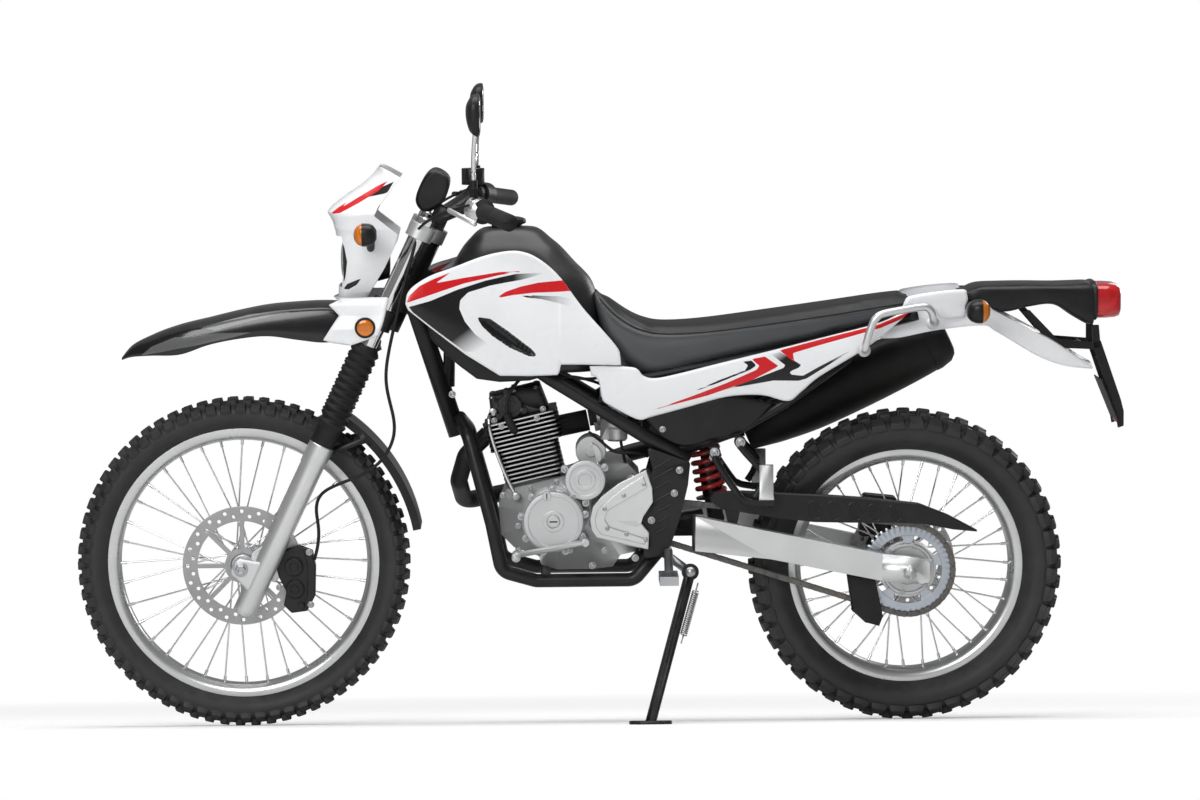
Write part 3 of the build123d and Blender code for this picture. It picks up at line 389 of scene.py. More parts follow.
def surfaceGroup():
    # two scales of noise: a slow drift for colour and gloss, a fine grain for the height
    group, takes, gives = groupSockets(
        "surface drift",
        [
            ("Drift Scale", "NodeSocketFloat", 9.0), ("Grain Scale", "NodeSocketFloat", 900.0),
            ("Stretch", "NodeSocketVector", (1, 1, 1))
        ],
        [("Drift", "NodeSocketFloat"), ("Grain", "NodeSocketFloat")],
    )
    inputs = {0: objectPlace(group), 1: takes.outputs["Stretch"]}
    place = addNode(group, "VectorMath", inputs, operation="MULTIPLY").outputs[0]
    for label, detail in (("Drift", 4), ("Grain", 2)):
        inputs = {"Detail": detail, "Vector": place, "Scale": takes.outputs[label + " Scale"]}
        noise = addNode(group, "TexNoise", inputs)
        group.links.new(noise.outputs["Fac"], gives.inputs[label])
    return group


def dustGroup():
    # fine dust settles where the surface faces up
    group, takes, gives = groupSockets(
        "dust film", [
            ("Amount", "NodeSocketFloat", 0.1), ("Scale", "NodeSocketFloat", 30.0)
        ], [("Mask", "NodeSocketFloat")]
    )
    split = addNode(group, "SeparateXYZ", {0: addNode(group, "NewGeometry").outputs["Normal"]})
    facing = rangeNode(group, split.outputs["Z"], 0.1, 1.0, 0.2, 1.0)
    inputs = {"Detail": 5, "Vector": objectPlace(group), "Scale": takes.outputs["Scale"]}
    noise = addNode(group, "TexNoise", inputs)
    patch = rangeNode(group, noise.outputs["Fac"], 0.4, 0.7)
    amount = mathNode(
        group, "MULTIPLY", mathNode(group, "MULTIPLY", facing, patch), takes.outputs["Amount"], clamp=True
    )
    group.links.new(amount, gives.inputs["Mask"])
    return group


wearEffect, surfaceEffect, dustEffect = edgeWearGroup(), surfaceGroup(), dustGroup()

# What a finish is: its colour and the tone it drifts to, how rough it is at each end of the drift, and its
# grain and wear.
plainFinish = {"metal": 0, "coat": 0, "sheen": 0.5, "grainDepth": 0, "wear": 0, "dust": 0.05}
finishes = {
    "whitePanel": {"tones": ((0.85, 0.86, 0.88), (0.82, 0.83, 0.85)), "rough": (0.24, 0.3),
        "coat": 0.15, "grainDepth": 0.02, "grainScale": 260, "dust": 0.03, "sheen": 0.35},
    "blackPanel": {"tones": ((0.006, 0.006, 0.0065), (0.01, 0.01, 0.0105)), "rough": (0.3, 0.42),
        "grainDepth": 0.1, "grainScale": 1500, "wear": 0.12, "wornColour": (0.06, 0.06, 0.06), "sheen": 0.32},
    "glossBlack": {"tones": ((0.005, 0.005, 0.0055), (0.007, 0.007, 0.0075)), "rough": (0.12, 0.2),
        "coat": 0.3, "grainDepth": 0.01, "grainScale": 300, "dust": 0.04, "sheen": 0.4},
    "satinTank": {"tones": ((0.012, 0.012, 0.013), (0.016, 0.016, 0.017)), "rough": (0.3, 0.4),
        "coat": 0.1, "grainDepth": 0.03, "grainScale": 700, "wear": 0.05, "wornColour": (0.07, 0.07, 0.07),
        "dust": 0.06, "sheen": 0.4},
    "framePaint": {"tones": ((0.007, 0.007, 0.0075), (0.011, 0.011, 0.0115)), "rough": (0.28, 0.42),
        "grainDepth": 0.06, "grainScale": 900, "wear": 0.2, "wornColour": (0.12, 0.12, 0.12), "sheen": 0.35},
    "heatBlack": {"tones": ((0.006, 0.006, 0.006), (0.012, 0.011, 0.01)), "rough": (0.42, 0.6),
        "grainDepth": 0.12, "grainScale": 1200, "wear": 0.15, "wornColour": (0.09, 0.075, 0.06),
        "sheen": 0.3},
    "castAlloy": {"tones": ((0.62, 0.625, 0.63), (0.55, 0.555, 0.56)), "rough": (0.38, 0.52),
        "metal": 0.75, "grainDepth": 0.22, "grainScale": 1300, "wear": 0.3, "wornColour": (0.72, 0.72, 0.72)},
    "satinAlloy": {"tones": ((0.7, 0.705, 0.71), (0.64, 0.645, 0.65)), "rough": (0.3, 0.4),
        "metal": 0.8, "grainDepth": 0.05, "grainScale": 1500, "wear": 0.2, "wornColour": (0.78, 0.78, 0.78),
        "dust": 0.03},
    "engineBlack": {"tones": ((0.02, 0.02, 0.021), (0.035, 0.035, 0.036)), "rough": (0.45, 0.6),
        "metal": 0.5, "grainDepth": 0.2, "grainScale": 1100, "wear": 0.5, "wornColour": (0.5, 0.5, 0.5),
        "dust": 0.06, "sheen": 0.4},
    "chrome": {"tones": ((0.78, 0.78, 0.79), (0.74, 0.74, 0.75)), "rough": (0.06, 0.12),
        "metal": 1.0, "grainScale": 600, "dust": 0.03},
    "rimAlloy": {"tones": ((0.66, 0.665, 0.67), (0.6, 0.605, 0.61)), "rough": (0.24, 0.34),
        "metal": 0.95, "grainDepth": 0.03, "grainScale": 1400, "dust": 0.08},
    "discSteel": {"tones": ((0.42, 0.42, 0.425), (0.35, 0.35, 0.355)), "rough": (0.28, 0.42),
        "metal": 1.0, "grainDepth": 0.05, "grainScale": 1600, "wear": 0.1, "wornColour": (0.6, 0.6, 0.6)},
    "chainSteel": {"tones": ((0.11, 0.108, 0.105), (0.17, 0.16, 0.15)), "rough": (0.35, 0.55),
        "metal": 0.9, "grainDepth": 0.1, "grainScale": 900, "wear": 0.5, "wornColour": (0.4, 0.39, 0.37),
        "dust": 0.2},
    "zinc": {"tones": ((0.5, 0.51, 0.52), (0.42, 0.43, 0.45)), "rough": (0.25, 0.4),
        "metal": 0.95, "grainDepth": 0.04, "grainScale": 1000, "wear": 0.1, "wornColour": (0.7, 0.7, 0.7),
        "dust": 0.08},
    "rubber": {"tones": ((0.007, 0.007, 0.007), (0.011, 0.011, 0.011)), "rough": (0.55, 0.7),
        "grainDepth": 0.15, "grainScale": 1400, "wear": 0.1, "wornColour": (0.05, 0.05, 0.05), "dust": 0.08,
        "sheen": 0.3},
    # the tyre's worn colour on its edges is partly real scuffing and partly a painted highlight that lightens the
    # lugs' edges
    "tyreRubber": {"tones": ((0.013, 0.013, 0.0135), (0.022, 0.022, 0.022)), "rough": (0.5, 0.65),
        "grainDepth": 0.3, "grainScale": 700, "wear": 0.6, "wornColour": (0.045, 0.045, 0.045), "dust": 0.08,
        "sheen": 0.5},
    "vinyl": {"tones": ((0.058, 0.061, 0.065), (0.066, 0.069, 0.073)), "rough": (0.45, 0.58),
        "grainDepth": 0.35, "grainScale": 1500, "dust": 0.04, "sheen": 0.35},
    "finEdge": {"tones": ((0.62, 0.62, 0.63), (0.5, 0.5, 0.51)), "rough": (0.28, 0.42),
        "metal": 0.95, "grainDepth": 0.05, "grainScale": 1300, "dust": 0.1},
    "toothedSteel": {"tones": ((0.52, 0.56, 0.62), (0.45, 0.48, 0.53)), "rough": (0.26, 0.38),
        "metal": 0.95, "grainDepth": 0.05, "grainScale": 1500, "wear": 0.2, "wornColour": (0.65, 0.65, 0.66),
        "dust": 0.08},
    "lampShell": {"tones": ((0.82, 0.83, 0.84), (0.76, 0.77, 0.78)), "rough": (0.05, 0.1),
        "metal": 1.0, "grainScale": 300, "dust": 0.0},
    "redSpring": {"tones": ((0.4, 0.02, 0.02), (0.34, 0.02, 0.02)), "rough": (0.25, 0.35),
        "coat": 0.3, "grainDepth": 0.03, "grainScale": 700, "wear": 0.1, "wornColour": (0.2, 0.1, 0.1),
        "dust": 0.1},
    "screenGrey": {"tones": ((0.16, 0.18, 0.16), (0.14, 0.16, 0.145)), "rough": (0.08, 0.14),
        "coat": 0.5, "grainScale": 600, "dust": 0.02},
    "mirrorGlass": {"tones": ((0.8, 0.82, 0.84), (0.77, 0.79, 0.81)), "rough": (0.02, 0.04),
        "metal": 1.0, "grainScale": 600, "dust": 0.02},
}


def newMaterial(name):
    material = bpy.data.materials.new(name)
    material.use_nodes = True
    return material, material.node_tree, material.node_tree.nodes["Principled BSDF"]


def makeFinish(name):
    given = {**plainFinish, **finishes[name]}
    material, tree, shader = newMaterial(name)
    surface = addNode(tree, "Group", node_tree=surfaceEffect)
    surface.inputs["Grain Scale"].default_value = given["grainScale"]
    drift = rangeNode(tree, surface.outputs["Drift"], 0.35, 0.65)
    colour = mixColour(tree, drift, *given["tones"])
    wear = addNode(tree, "Group", node_tree=wearEffect)
    wear.inputs["Amount"].default_value = given["wear"]
    if given["wear"]:
        colour = mixColour(tree, wear.outputs["Mask"], colour, given["wornColour"])
    dust = addNode(tree, "Group", node_tree=dustEffect)
    dust.inputs["Amount"].default_value = given["dust"]
    colour = mixColour(tree, dust.outputs["Mask"], colour, (0.42, 0.4, 0.37))
    rough = rangeNode(tree, surface.outputs["Drift"], 0.3, 0.7, *given["rough"])
    rough = mathNode(tree, "ADD", rough, mathNode(tree, "MULTIPLY", dust.outputs["Mask"], 0.6), clamp=True)
    inputs = {"Height": surface.outputs["Grain"], "Normal": wear.outputs["Normal"], "Distance": 0.0004}
    bump = addNode(tree, "Bump", {"Strength": given["grainDepth"], **inputs})
    feed(tree, shader, {
        "Base Color": colour, "Roughness": rough, "Normal": bump.outputs["Normal"],
        "Metallic": given["metal"], "Specular IOR Level": given["sheen"],
        "Coat Weight": given["coat"], "Coat Roughness": 0.08,
    })
    return material


made = {name: makeFinish(name) for name in finishes}


def makePainted(name, base, under):
    # a gloss panel whose red and black fields lie where their own distances, kept on the points, fall below
    # nothing
    material = base.copy()
    material.name = name
    tree = material.node_tree
    shader = tree.nodes["Principled BSDF"]
    plain = shader.inputs["Base Color"].links[0].from_socket
    tree.links.remove(shader.inputs["Base Color"].links[0])
    colour = plain
    for field, tone in under:
        edge = addNode(tree, "Attribute", attribute_name=field + "Edge")
        strength = addNode(tree, "Attribute", attribute_name=field + "Strength")
        inside = rangeNode(tree, edge.outputs["Fac"], 0.35, -0.35)
        colour = mixColour(
            tree, mathNode(tree, "MULTIPLY", inside, strength.outputs["Fac"], clamp=True), colour, tone
        )
    tree.links.new(colour, shader.inputs["Base Color"])
    return material


made["paintedPanel"] = makePainted(
    "paintedPanel", made["whitePanel"], (("black", (0.009, 0.009, 0.01)), ("red", (0.6, 0.012, 0.016)))
)
# the fender's grey field paints a grey patch at its lower front and a painted highlight along its ridge
made["paintedFender"] = makePainted("paintedFender", made["glossBlack"], (("greyPatchAndHighlight", (0.13, 0.132, 0.135)),))


made["seatVinyl"] = makePainted("seatVinyl", made["vinyl"], (("top", (0.009, 0.0092, 0.0098)),))


def makeLens(name, colour, roughness, clear):
    # a moulded lens whose colour deepens in bands along fine flutes, which also bump its surface
    material, tree, shader = newMaterial(name)
    surface = addNode(tree, "Group", {"Grain Scale": 160}, node_tree=surfaceEffect)
    inputs = {"Scale": 55, "Distortion": 0.2, "Vector": objectPlace(tree)}
    waves = addNode(tree, "TexWave", inputs, bands_direction="Y")
    deep = tuple(part * 0.55 for part in colour)
    tone = mixColour(tree, rangeNode(tree, waves.outputs["Fac"], 0.1, 0.9, 0.0, 0.6), colour, deep)
    bump = addNode(tree, "Bump", {"Strength": 0.25, "Distance": 0.0006, "Height": waves.outputs["Fac"]})
    feed(tree, shader, {
        "Base Color": tone, "Normal": bump.outputs["Normal"],
        "Roughness": rangeNode(tree, surface.outputs["Drift"], 0.3, 0.7, roughness, roughness + 0.05),
        "Transmission Weight": clear, "IOR": 1.45, "Coat Weight": 0.6, "Coat Roughness": 0.03,
    })
    return material


made["amberLens"] = makeLens("amberLens", (0.95, 0.26, 0.01), 0.08, 0.25)
made["redLens"] = makeLens("redLens", (0.72, 0.012, 0.016), 0.08, 0.2)
made["clearLens"] = makeLens("clearLens", (0.95, 0.96, 0.97), 0.02, 1.0)
print("finishes made")

slotOf = {part["node"]: part["material_slot"] for part in frame["record"]["subparts"]}
bodyOf = {node: body for body, nodes in frame["record"]["behaviour"]["bodies"].items() for node in nodes}


def keepFields(piece, fields):
    # each field's distance and strength, kept on the points of the mesh
    for field, (distance, strength) in fields.items():
        for label, values in ((field + "Edge", distance), (field + "Strength", strength)):
            kept = piece.data.attributes.new(label, "FLOAT", "POINT")
            kept.data.foreach_set(
                "value", np.broadcast_to(values, len(piece.data.vertices)).astype(np.float32)
            )


def meshPlaces(mesh):
    points = np.empty(len(mesh.vertices) * 3, np.float32)
    mesh.vertices.foreach_get("co", points)
    return upright(points.reshape(-1, 3))


def faceFacts(mesh):
    # the middle of each face in the machine's millimetres, and which way it faces along the machine's axes
    middle = np.empty(len(mesh.polygons) * 3, np.float32)
    facing = np.empty(len(mesh.polygons) * 3, np.float32)
    mesh.polygons.foreach_get("center", middle)
    mesh.polygons.foreach_get("normal", facing)
    return upright(middle.reshape(-1, 3)), facing.reshape(-1, 3) @ machineAxes.T


def dress(node, finishNames, choose=None, sharp=32):
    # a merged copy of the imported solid, so that round faces shade smoothly and only true edges stay sharp
    mesh = frame["nodes"][node].data.copy()
    work = bmesh.new()
    work.from_mesh(mesh)
    bmesh.ops.remove_doubles(work, verts=work.verts, dist=0.00002)
    for face in work.faces:
        face.smooth = True
    work.to_mesh(mesh)
    work.free()
    for layer in list(mesh.uv_layers):
        mesh.uv_layers.remove(layer)
    finishNames = [finishNames] if isinstance(finishNames, str) else finishNames
    piece = shown(
        node.replace("_", "-") + "-dressed", mesh, bodyOf[node], [made[name] for name in finishNames],
        slotOf[node], node, sharp=sharp
    )
    if choose:
        mesh.polygons.foreach_set("material_index", np.asarray(choose(*faceFacts(mesh)), np.int32))
    return piece


# ---- the model's own solids, with a finish each
dressing = {
    "framePaint": [
        "frame_spine", "frame_cradle", "frame_side_tubes", "rear_subframe", "pivot_plates", "side_stand",
        "rear_brake_caliper", "lower_fork_clamp", "handlebar"
    ],
    "heatBlack": ["exhaust_header"],
    "castAlloy": ["top_fork_clamp", "left_passenger_peg", "right_passenger_peg", "foot_controls"],
    "discSteel": ["front_brake_disc", "rear_brake_disc"],
    "zinc": ["side_stand_bracket", "rider_pegs"],
    "rubber": ["fork_boots"],
}
for finish, nodes in dressing.items():
    for node in nodes:
        dress(node, finish)

# Where one solid has two finishes: the finishes, and which faces take the second or third.
twoTone = {
    "hand_controls": (
        ["rubber", "blackPanel", "satinAlloy"], lambda middle,
        facing: np.where(np.abs(middle[:, 1]) > 268, np.where(middle[:, 0] < -190, 2, 0), 1)
    ),
    "swingarm": (["satinAlloy", "framePaint"], lambda middle, facing: middle[:, 0] < 252),
    "carburettor_and_airbox": (
        ["blackPanel", "castAlloy"], lambda middle, facing: (middle[:, 0] < 108) & (np.abs(middle[:, 1]) < 60)
    ),
}
for node, (names, choose) in twoTone.items():
    dress(node, names, choose)
print("solids dressed")

# ---- engine
engine = {
    "lean": 13, "finRim": 3.0, "rimTurn": 0.35, "finPitch": 24, "finTop": 652, "finFoot": 505,
    "barrelFoot": (-95, 0, 575)
}
barrelLean = radians(engine["lean"])
barrelUp = np.array([-sin(barrelLean), 0, cos(barrelLean)])
barrelAhead = np.array([-cos(barrelLean), 0, -sin(barrelLean)])


def finRims(middle, facing):
    # the machined rims of the fins: faces square to the barrel's own axis that lie on the outside of the
    # stack
    level, forward, across = middle @ barrelUp, middle @ barrelAhead, np.abs(middle[:, 1])
    band = np.round(level / engine["finPitch"]).astype(int)
    band -= band.min()
    edges = [np.full(band.max() + 1, -1e9) for _ in range(3)]
    for values, edge in zip((forward, -forward, across), edges):
        np.maximum.at(edge, band, values)
    outside = (forward > edges[0][band] - engine["finRim"]) | (
        -forward > edges[1][band] - engine["finRim"]
    ) | (across > edges[2][band] - engine["finRim"])
    return outside & (
        np.abs(facing @ barrelUp) < engine["rimTurn"]
    ) & (level < engine["finTop"]) & (level > engine["finFoot"])


dress("cylinder_and_head", ["engineBlack", "finEdge"], finRims)
dress("engine_cases", ["castAlloy"])

# Round covers on the left: place, radius, the face's distance out, and the bolts round them.
covers = (
    {"place": (-44, 437), "radius": 61, "face": 134, "rise": 7, "bolts": 9, "boltReach": 66, "turn": 0.2},
    {"place": (21, 520), "radius": 41, "face": 130, "rise": 5, "bolts": 3, "boltReach": 47, "turn": 0.55},
)
# A shape's own axes where it stands out from a side: the left is -1, and the right is 1.
sides = ((-1, "left"), (1, "right"))
sideAxes = np.array([[1, 0, 0], [0, 0, 1], [0, -1, 0]], float)
axesOn = {-1: sideAxes, 1: np.array([[1, 0, 0], [0, 0, -1], [0, 1, 0]], float)}


def box(halfWide, halfHigh):
    return [(-halfWide, -halfHigh), (halfWide, -halfHigh), (halfWide, halfHigh), (-halfWide, halfHigh)]


def sidePlate(outline, low, high, out=0):
    # an outline in x and z, drawn out from the left side
    return repeated(slabShape(outline, low, high), [(0, -out, 0)], sideAxes)


def onLeft(shape, x, z, out):
    return repeated(shape, [(x, -out, z)], sideAxes)


def boltShape(radius):
    # a flanged screw, as shares of its radius: a thin washer, then a head with a chamfer and a round recess
    # for the key
    profile = [(0, 1.5), (0.22, 1.5), (0.22, 1), (0.7, 1), (0.9, 0.8), (0.9, 0.5), (0.405, 0.46)]
    return turnedShape(np.array(profile) * radius, 18)


def boltsOnLeft(name, places, radius, finish, body="chassis", slot="bright_steel", side=-1):
    # screws in a side of the machine, as (x, z, distance out)
    axes = axesOn[side]
    spots = [(x, side * out, z) for x, z, out in places]
    return build(name, repeated(boltShape(radius), spots, axes), body, finish, slot, sharp=40)


def engineCovers():
    parts, spots = [], []
    for given in covers:
        x, z = given["place"]
        radius, rise = given["radius"], given["rise"]
        lid = [
            (-6, radius), (rise - 3, radius), (rise - 0.8, radius - 1.2), (rise, radius - 4),
            (rise, radius - 9), (rise - 1.2, radius - 10.5), (rise - 1.2, 22), (rise - 0.2, 20.5),
            (rise - 0.2, 14), (rise - 1.8, 13), (rise - 1.8, 0.2)
        ]
        parts.append(onLeft(turnedShape(lid, 96), x, z, given["face"]))
        angle = given["turn"] + np.linspace(0, 2 * pi, given["bolts"], endpoint=False)
        boss = onLeft(turnedShape([(-14, 8), (-2, 8), (0, 6.8)], 20), 0, 0, 0)
        for turn in angle:
            centre = (x + given["boltReach"] * cos(turn), -given["face"], z + given["boltReach"] * sin(turn))
            parts.append((boss[0] + np.array(centre), *boss[1:]))
            spots.append((centre[0], centre[2], given["face"]))
    # the plug's slot in the middle of the large cover, and the timing plug above it
    for x, z, radius in ((-44, 437, 12), (-57, 489, 9)):
        parts.append(
            onLeft(turnedShape([(-3, radius), (7.2, radius), (8, radius - 1.2), (8, 0.2)], 40), x, z, 134)
        )
    build("engine-covers", joined(*parts), "chassis", "castAlloy", "cast_alloy", sharp=30)
    # the plugs' slots are not cut: a thin black bar on each plug's face is painted shade where the slot would be
    level = onLeft(slabShape(box(8, 1.4), 0, 0.5), -44, 437, 141.9)
    build(
        "cover-slot-shades", joined(level, onLeft(slabShape(box(1.1, 6), 0, 0.5), -57, 489, 141.9)), "chassis",
        "blackPanel", "black_plastic"
    )
    boltsOnLeft("cover-bolts", spots, 3.6, "zinc")


engineCovers()

sprocketCover = {
    "outline": [
        (145, 540), (157, 503), (158, 474), (138, 444), (134, 431), (150, 412), (148, 377), (43, 403),
        (33, 418), (30, 440), (36, 466), (54, 487), (90, 514)
    ],
    "raised": [
        (139, 528), (147, 505), (66, 458), (60, 440), (70, 425), (143, 400), (141, 388), (52, 410), (42, 424),
        (40, 440), (46, 461), (94, 502)
    ],
    "recess": [(84, 437), (124, 424), (131, 428), (123, 436)],
    "screws": [(140, 511), (99, 489), (60, 462), (65, 422), (104, 410), (143, 398)],
}


def makeSprocketCover():
    face = 135.6
    plate = sidePlate(sprocketCover["outline"][::-1], -10, 0, face)
    rib = sidePlate(sprocketCover["raised"][::-1], 0, 4, face)
    build("sprocket-cover", joined(plate, rib), "chassis", "satinAlloy", "cast_alloy", sharp=30, bevel=1.6)
    window = sidePlate(sprocketCover["recess"][::-1], 0, 0.6, face)
    build("sprocket-cover-recess", window, "chassis", "castAlloy", "cast_alloy")
    boltsOnLeft("sprocket-cover-screws", [(x, z, face + 4) for x, z in sprocketCover["screws"]], 3.2, "zinc")


makeSprocketCover()
boltsOnLeft(
    "case-bolts",
    [(-90, 500, 96), (27, 422, 110), (-11, 372, 100), (-71, 373, 100), (-116, 423, 96), (-36, 512, 96)], 4.2,
    "zinc"
)
print("engine made")

# ---- tyres and wheels
wheels = {
    "front": {
        "centre": machine["frontAxle"], "radius": 342, "lugDepth": 11, "body": "front_wheel",
        "node": "front_tyre", "wheelNode": "front_wire_wheel",
        "rows": ((0, 0), (1.5, 14), (7, 28), (17, 37), (30, 40), (46, 38), (58, 30), (64, 24)),
        "pitches": 66,
        "lugs": (
            (0.0, 8, 7.2, 0.5, 1.0), (0.12, 8, 7.2, 0.5, -1.0), (0.06, 23, 6.4, 0.46, 1.0),
            (0.06, 23, 6.4, 0.46, -1.0), (0.5, 34.5, 10.0, 0.62, 1.0), (0.5, 34.5, 10.0, 0.62, -1.0)
        ),
        "rim": (
            (278.5, -24), (270, -24.5), (262, -22), (256, -16), (253, -9), (253, 9), (256, 16), (262, 22),
            (270, 24.5), (278.5, 24), (278.5, 20.5), (268, 18), (263, 0), (268, -18), (278.5, -20.5)
        ),
        "bed": 254, "spokeHalf": 7, "flange": ((-33, 27), (33, 27)),
        "hub": (
            (-56.5, 13), (-56.5, 24), (-52, 31), (-38, 33), (-35, 33), (-31, 29), (-27, 23), (0, 20),
            (27, 23), (31, 29), (35, 33), (39, 33), (44, 27), (57, 22), (57, 13)
        ),
    },
    "rear": {
        "centre": machine["rearAxle"], "radius": 323, "lugDepth": 13, "body": "rear_wheel",
        "node": "rear_tyre", "wheelNode": "rear_wire_wheel",
        "rows": ((0, 0), (2, 22), (8, 42), (20, 56), (38, 60), (58, 57), (74, 44), (82, 33)),
        "pitches": 48,
        "lugs": (
            (0.0, 12, 10.5, 0.5, 1.0), (0.12, 12, 10.5, 0.5, -1.0), (0.06, 34, 9.5, 0.46, 1.0),
            (0.06, 34, 9.5, 0.46, -1.0), (0.5, 52, 15, 0.66, 1.0), (0.5, 52, 15, 0.66, -1.0)
        ),
        "rim": (
            (241.5, -31), (232, -31.5), (224, -28), (218, -20), (215, -10), (215, 10), (218, 20), (224, 28),
            (232, 31.5), (241.5, 31), (241.5, 27), (231, 24), (226, 0), (231, -24), (241.5, -27)
        ),
        "bed": 216, "spokeHalf": 9, "flange": ((-38, 36), (36, 34)),
        "hub": (
            (-74, 16), (-74, 58), (-62, 60), (-52, 58), (-46, 42), (-41, 42), (-36, 34), (-30, 28), (28, 26),
            (34, 34), (38, 42), (42, 42), (50, 36), (70, 32), (75, 30), (75, 16)
        ),
    },
}


def wheelPlace(given, angle, reach, across):
    # a point at this angle round the axle, this far from it and this far across
    x = given["centre"][0] + reach * np.cos(angle)
    z = given["centre"][2] + reach * np.sin(angle)
    return placesOf(x, across, z)


def carcassRows(given):
    # the bare carcass lies deeper than the lugs' tops by their depth, and by less and less down to 40 mm in
    drops, halves = np.array(given["rows"], float).T
    return drops + np.where(drops < 40, given["lugDepth"] * (1 - drops / 40), 0), halves


def carcassAt(given, across):
    # how far in from the crown the bare carcass lies at a distance across
    drops, halves = carcassRows(given)
    turn = int(np.argmax(halves))
    return np.interp(np.abs(across), halves[: turn + 1], drops[: turn + 1])


def tyreCarcass(given):
    # a closed section carried round the axle: crown to bead on both sides, then across inside the rim
    drops, halves = carcassRows(given)
    section = np.stack(
        [np.concatenate([drops[::-1], drops[1:]]), np.concatenate([-halves[::-1], halves[1:]])], -1
    )
    section = smoothLine(section, 57)
    count = 180
    angle = np.linspace(0, 2 * pi, count, endpoint=False)[:, None]
    points = wheelPlace(given, angle, given["radius"] - section[None, :, 0], section[None, :, 1])
    return points.reshape(-1, 3), gridQuads(count, len(section), True, True)


def tyreLugs(given):
    # a tapered block with chamfered shoulders at every pitch of each row, standing square to the carcass
    shapes = []
    for offset, across, halfWide, share, side in given["lugs"]:
        pitch = 2 * pi / given["pitches"]
        angle = (np.arange(given["pitches"]) + offset) * pitch
        length = given["radius"] * pitch * share / 2
        deep = carcassAt(given, across)
        widest = max(row[1] for row in given["rows"])
        ahead, before = min(across + 3.0, widest - 0.3), across - 3.0
        slope = atan2(carcassAt(given, ahead) - carcassAt(given, before), ahead - before)
        base, top = -4.0, given["lugDepth"] * (1.0 if slope < 0.5 else 0.62)
        corners = np.array(
            [
                (-1, -1), (-0.35, -1.0), (0.35, -0.86), (1, -0.86), (1, 0.86), (0.35, 1.0), (-0.35, 1.0),
                (-1, 0.92)
            ],
            float
        )
        rings = [(base, 1.2), (top - 1.2, 1.0), (top, 0.9)]
        points = np.concatenate(
            [
                np.column_stack(
                    [corners[:, 0] * length * grow, corners[:, 1] * halfWide * grow, np.full(8, level)]
                )
                for level, grow in rings
            ]
        )
        ring = np.arange(8)
        shape = points, gridQuads(3, 8, False, True)[:, ::-1], (ring + 16)[None]
        out = np.stack([np.cos(angle), np.zeros_like(angle), np.sin(angle)], -1)
        turning = np.stack([-np.sin(angle), np.zeros_like(angle), np.cos(angle)], -1)
        wide = np.array([0, side, 0.0])[None] * np.ones_like(out)
        standing = out * cos(slope) + wide * sin(slope)
        sideways = wide * cos(slope) - out * sin(slope)
        place = wheelPlace(given, angle, given["radius"] - deep, side * across)
        shapes.append(repeated(shape, place, np.stack([turning, sideways, standing], 1)))
    return joined(*shapes)


def tyre(given):
    stand(given["node"] + "-carcass", tyreCarcass(given), given["node"], "tyreRubber", "tyre_black", sharp=50)
    # the lugs take the tyre finish, whose lighter worn edges are partly a painted highlight
    stand(given["node"] + "-lugs", tyreLugs(given), given["node"], "tyreRubber", "tyre_black", sharp=30)


def turnedRing(given, section, count):
    # a closed section of (reach, across) carried round the axle
    angle = np.linspace(0, 2 * pi, count, endpoint=False)[:, None]
    reach, across = np.array(section, float).T
    points = wheelPlace(given, angle, reach[None], across[None]).reshape(-1, 3)
    return points, gridQuads(count, len(section), True, True)


def wheel(given):
    # the rim's closed section and the hub's profile, each turned round the axle
    label = given["body"].replace("_", "-")
    rim = turnedRing(given, given["rim"], 200)
    stand(label + "-rim", rim, given["wheelNode"], "rimAlloy", "chrome_steel", sharp=40)
    hub = turnedRing(given, np.array(given["hub"])[:, ::-1], 72)
    stand(label + "-hub", hub, given["wheelNode"], "satinAlloy", "chrome_steel", sharp=40)
    # spokes leave each flange by turns ahead of and behind the hole that they reach in the rim
    starts, ends, nips = [], [], []
    for side, (flange, reach) in zip((-1, 1), given["flange"]):
        number = np.arange(18)
        rimAngle = (number + (0 if side < 0 else 0.5)) * 2 * pi / 18
        hubAngle = rimAngle + np.where(number % 2 == 0, 1, -1) * radians(42)
        start = wheelPlace(given, hubAngle, float(reach), float(flange))
        end = wheelPlace(given, rimAngle, float(given["bed"]) + 3, side * float(given["spokeHalf"]))
        starts.append(start)
        ends.append(end)
        nips.append(end + (start - end) / np.linalg.norm(start - end, axis=1, keepdims=True) * 16)
    starts, ends, nips = (np.concatenate(each) for each in (starts, ends, nips))
    spokes = joined(rodsBetween(starts, ends, 1.7, 8), rodsBetween(nips, ends, 3.0, 8))
    stand(label + "-spokes", spokes, given["wheelNode"], "chrome", "chrome_steel", sharp=60)


for given in wheels.values():
    tyre(given)
    wheel(given)
print("wheels made")

# ---- chain
chain = {"pitch": 12.7, "links": 126, "frontTeeth": 15, "rearTeeth": 46, "centre": -77.5, "drive": (90, 448)}


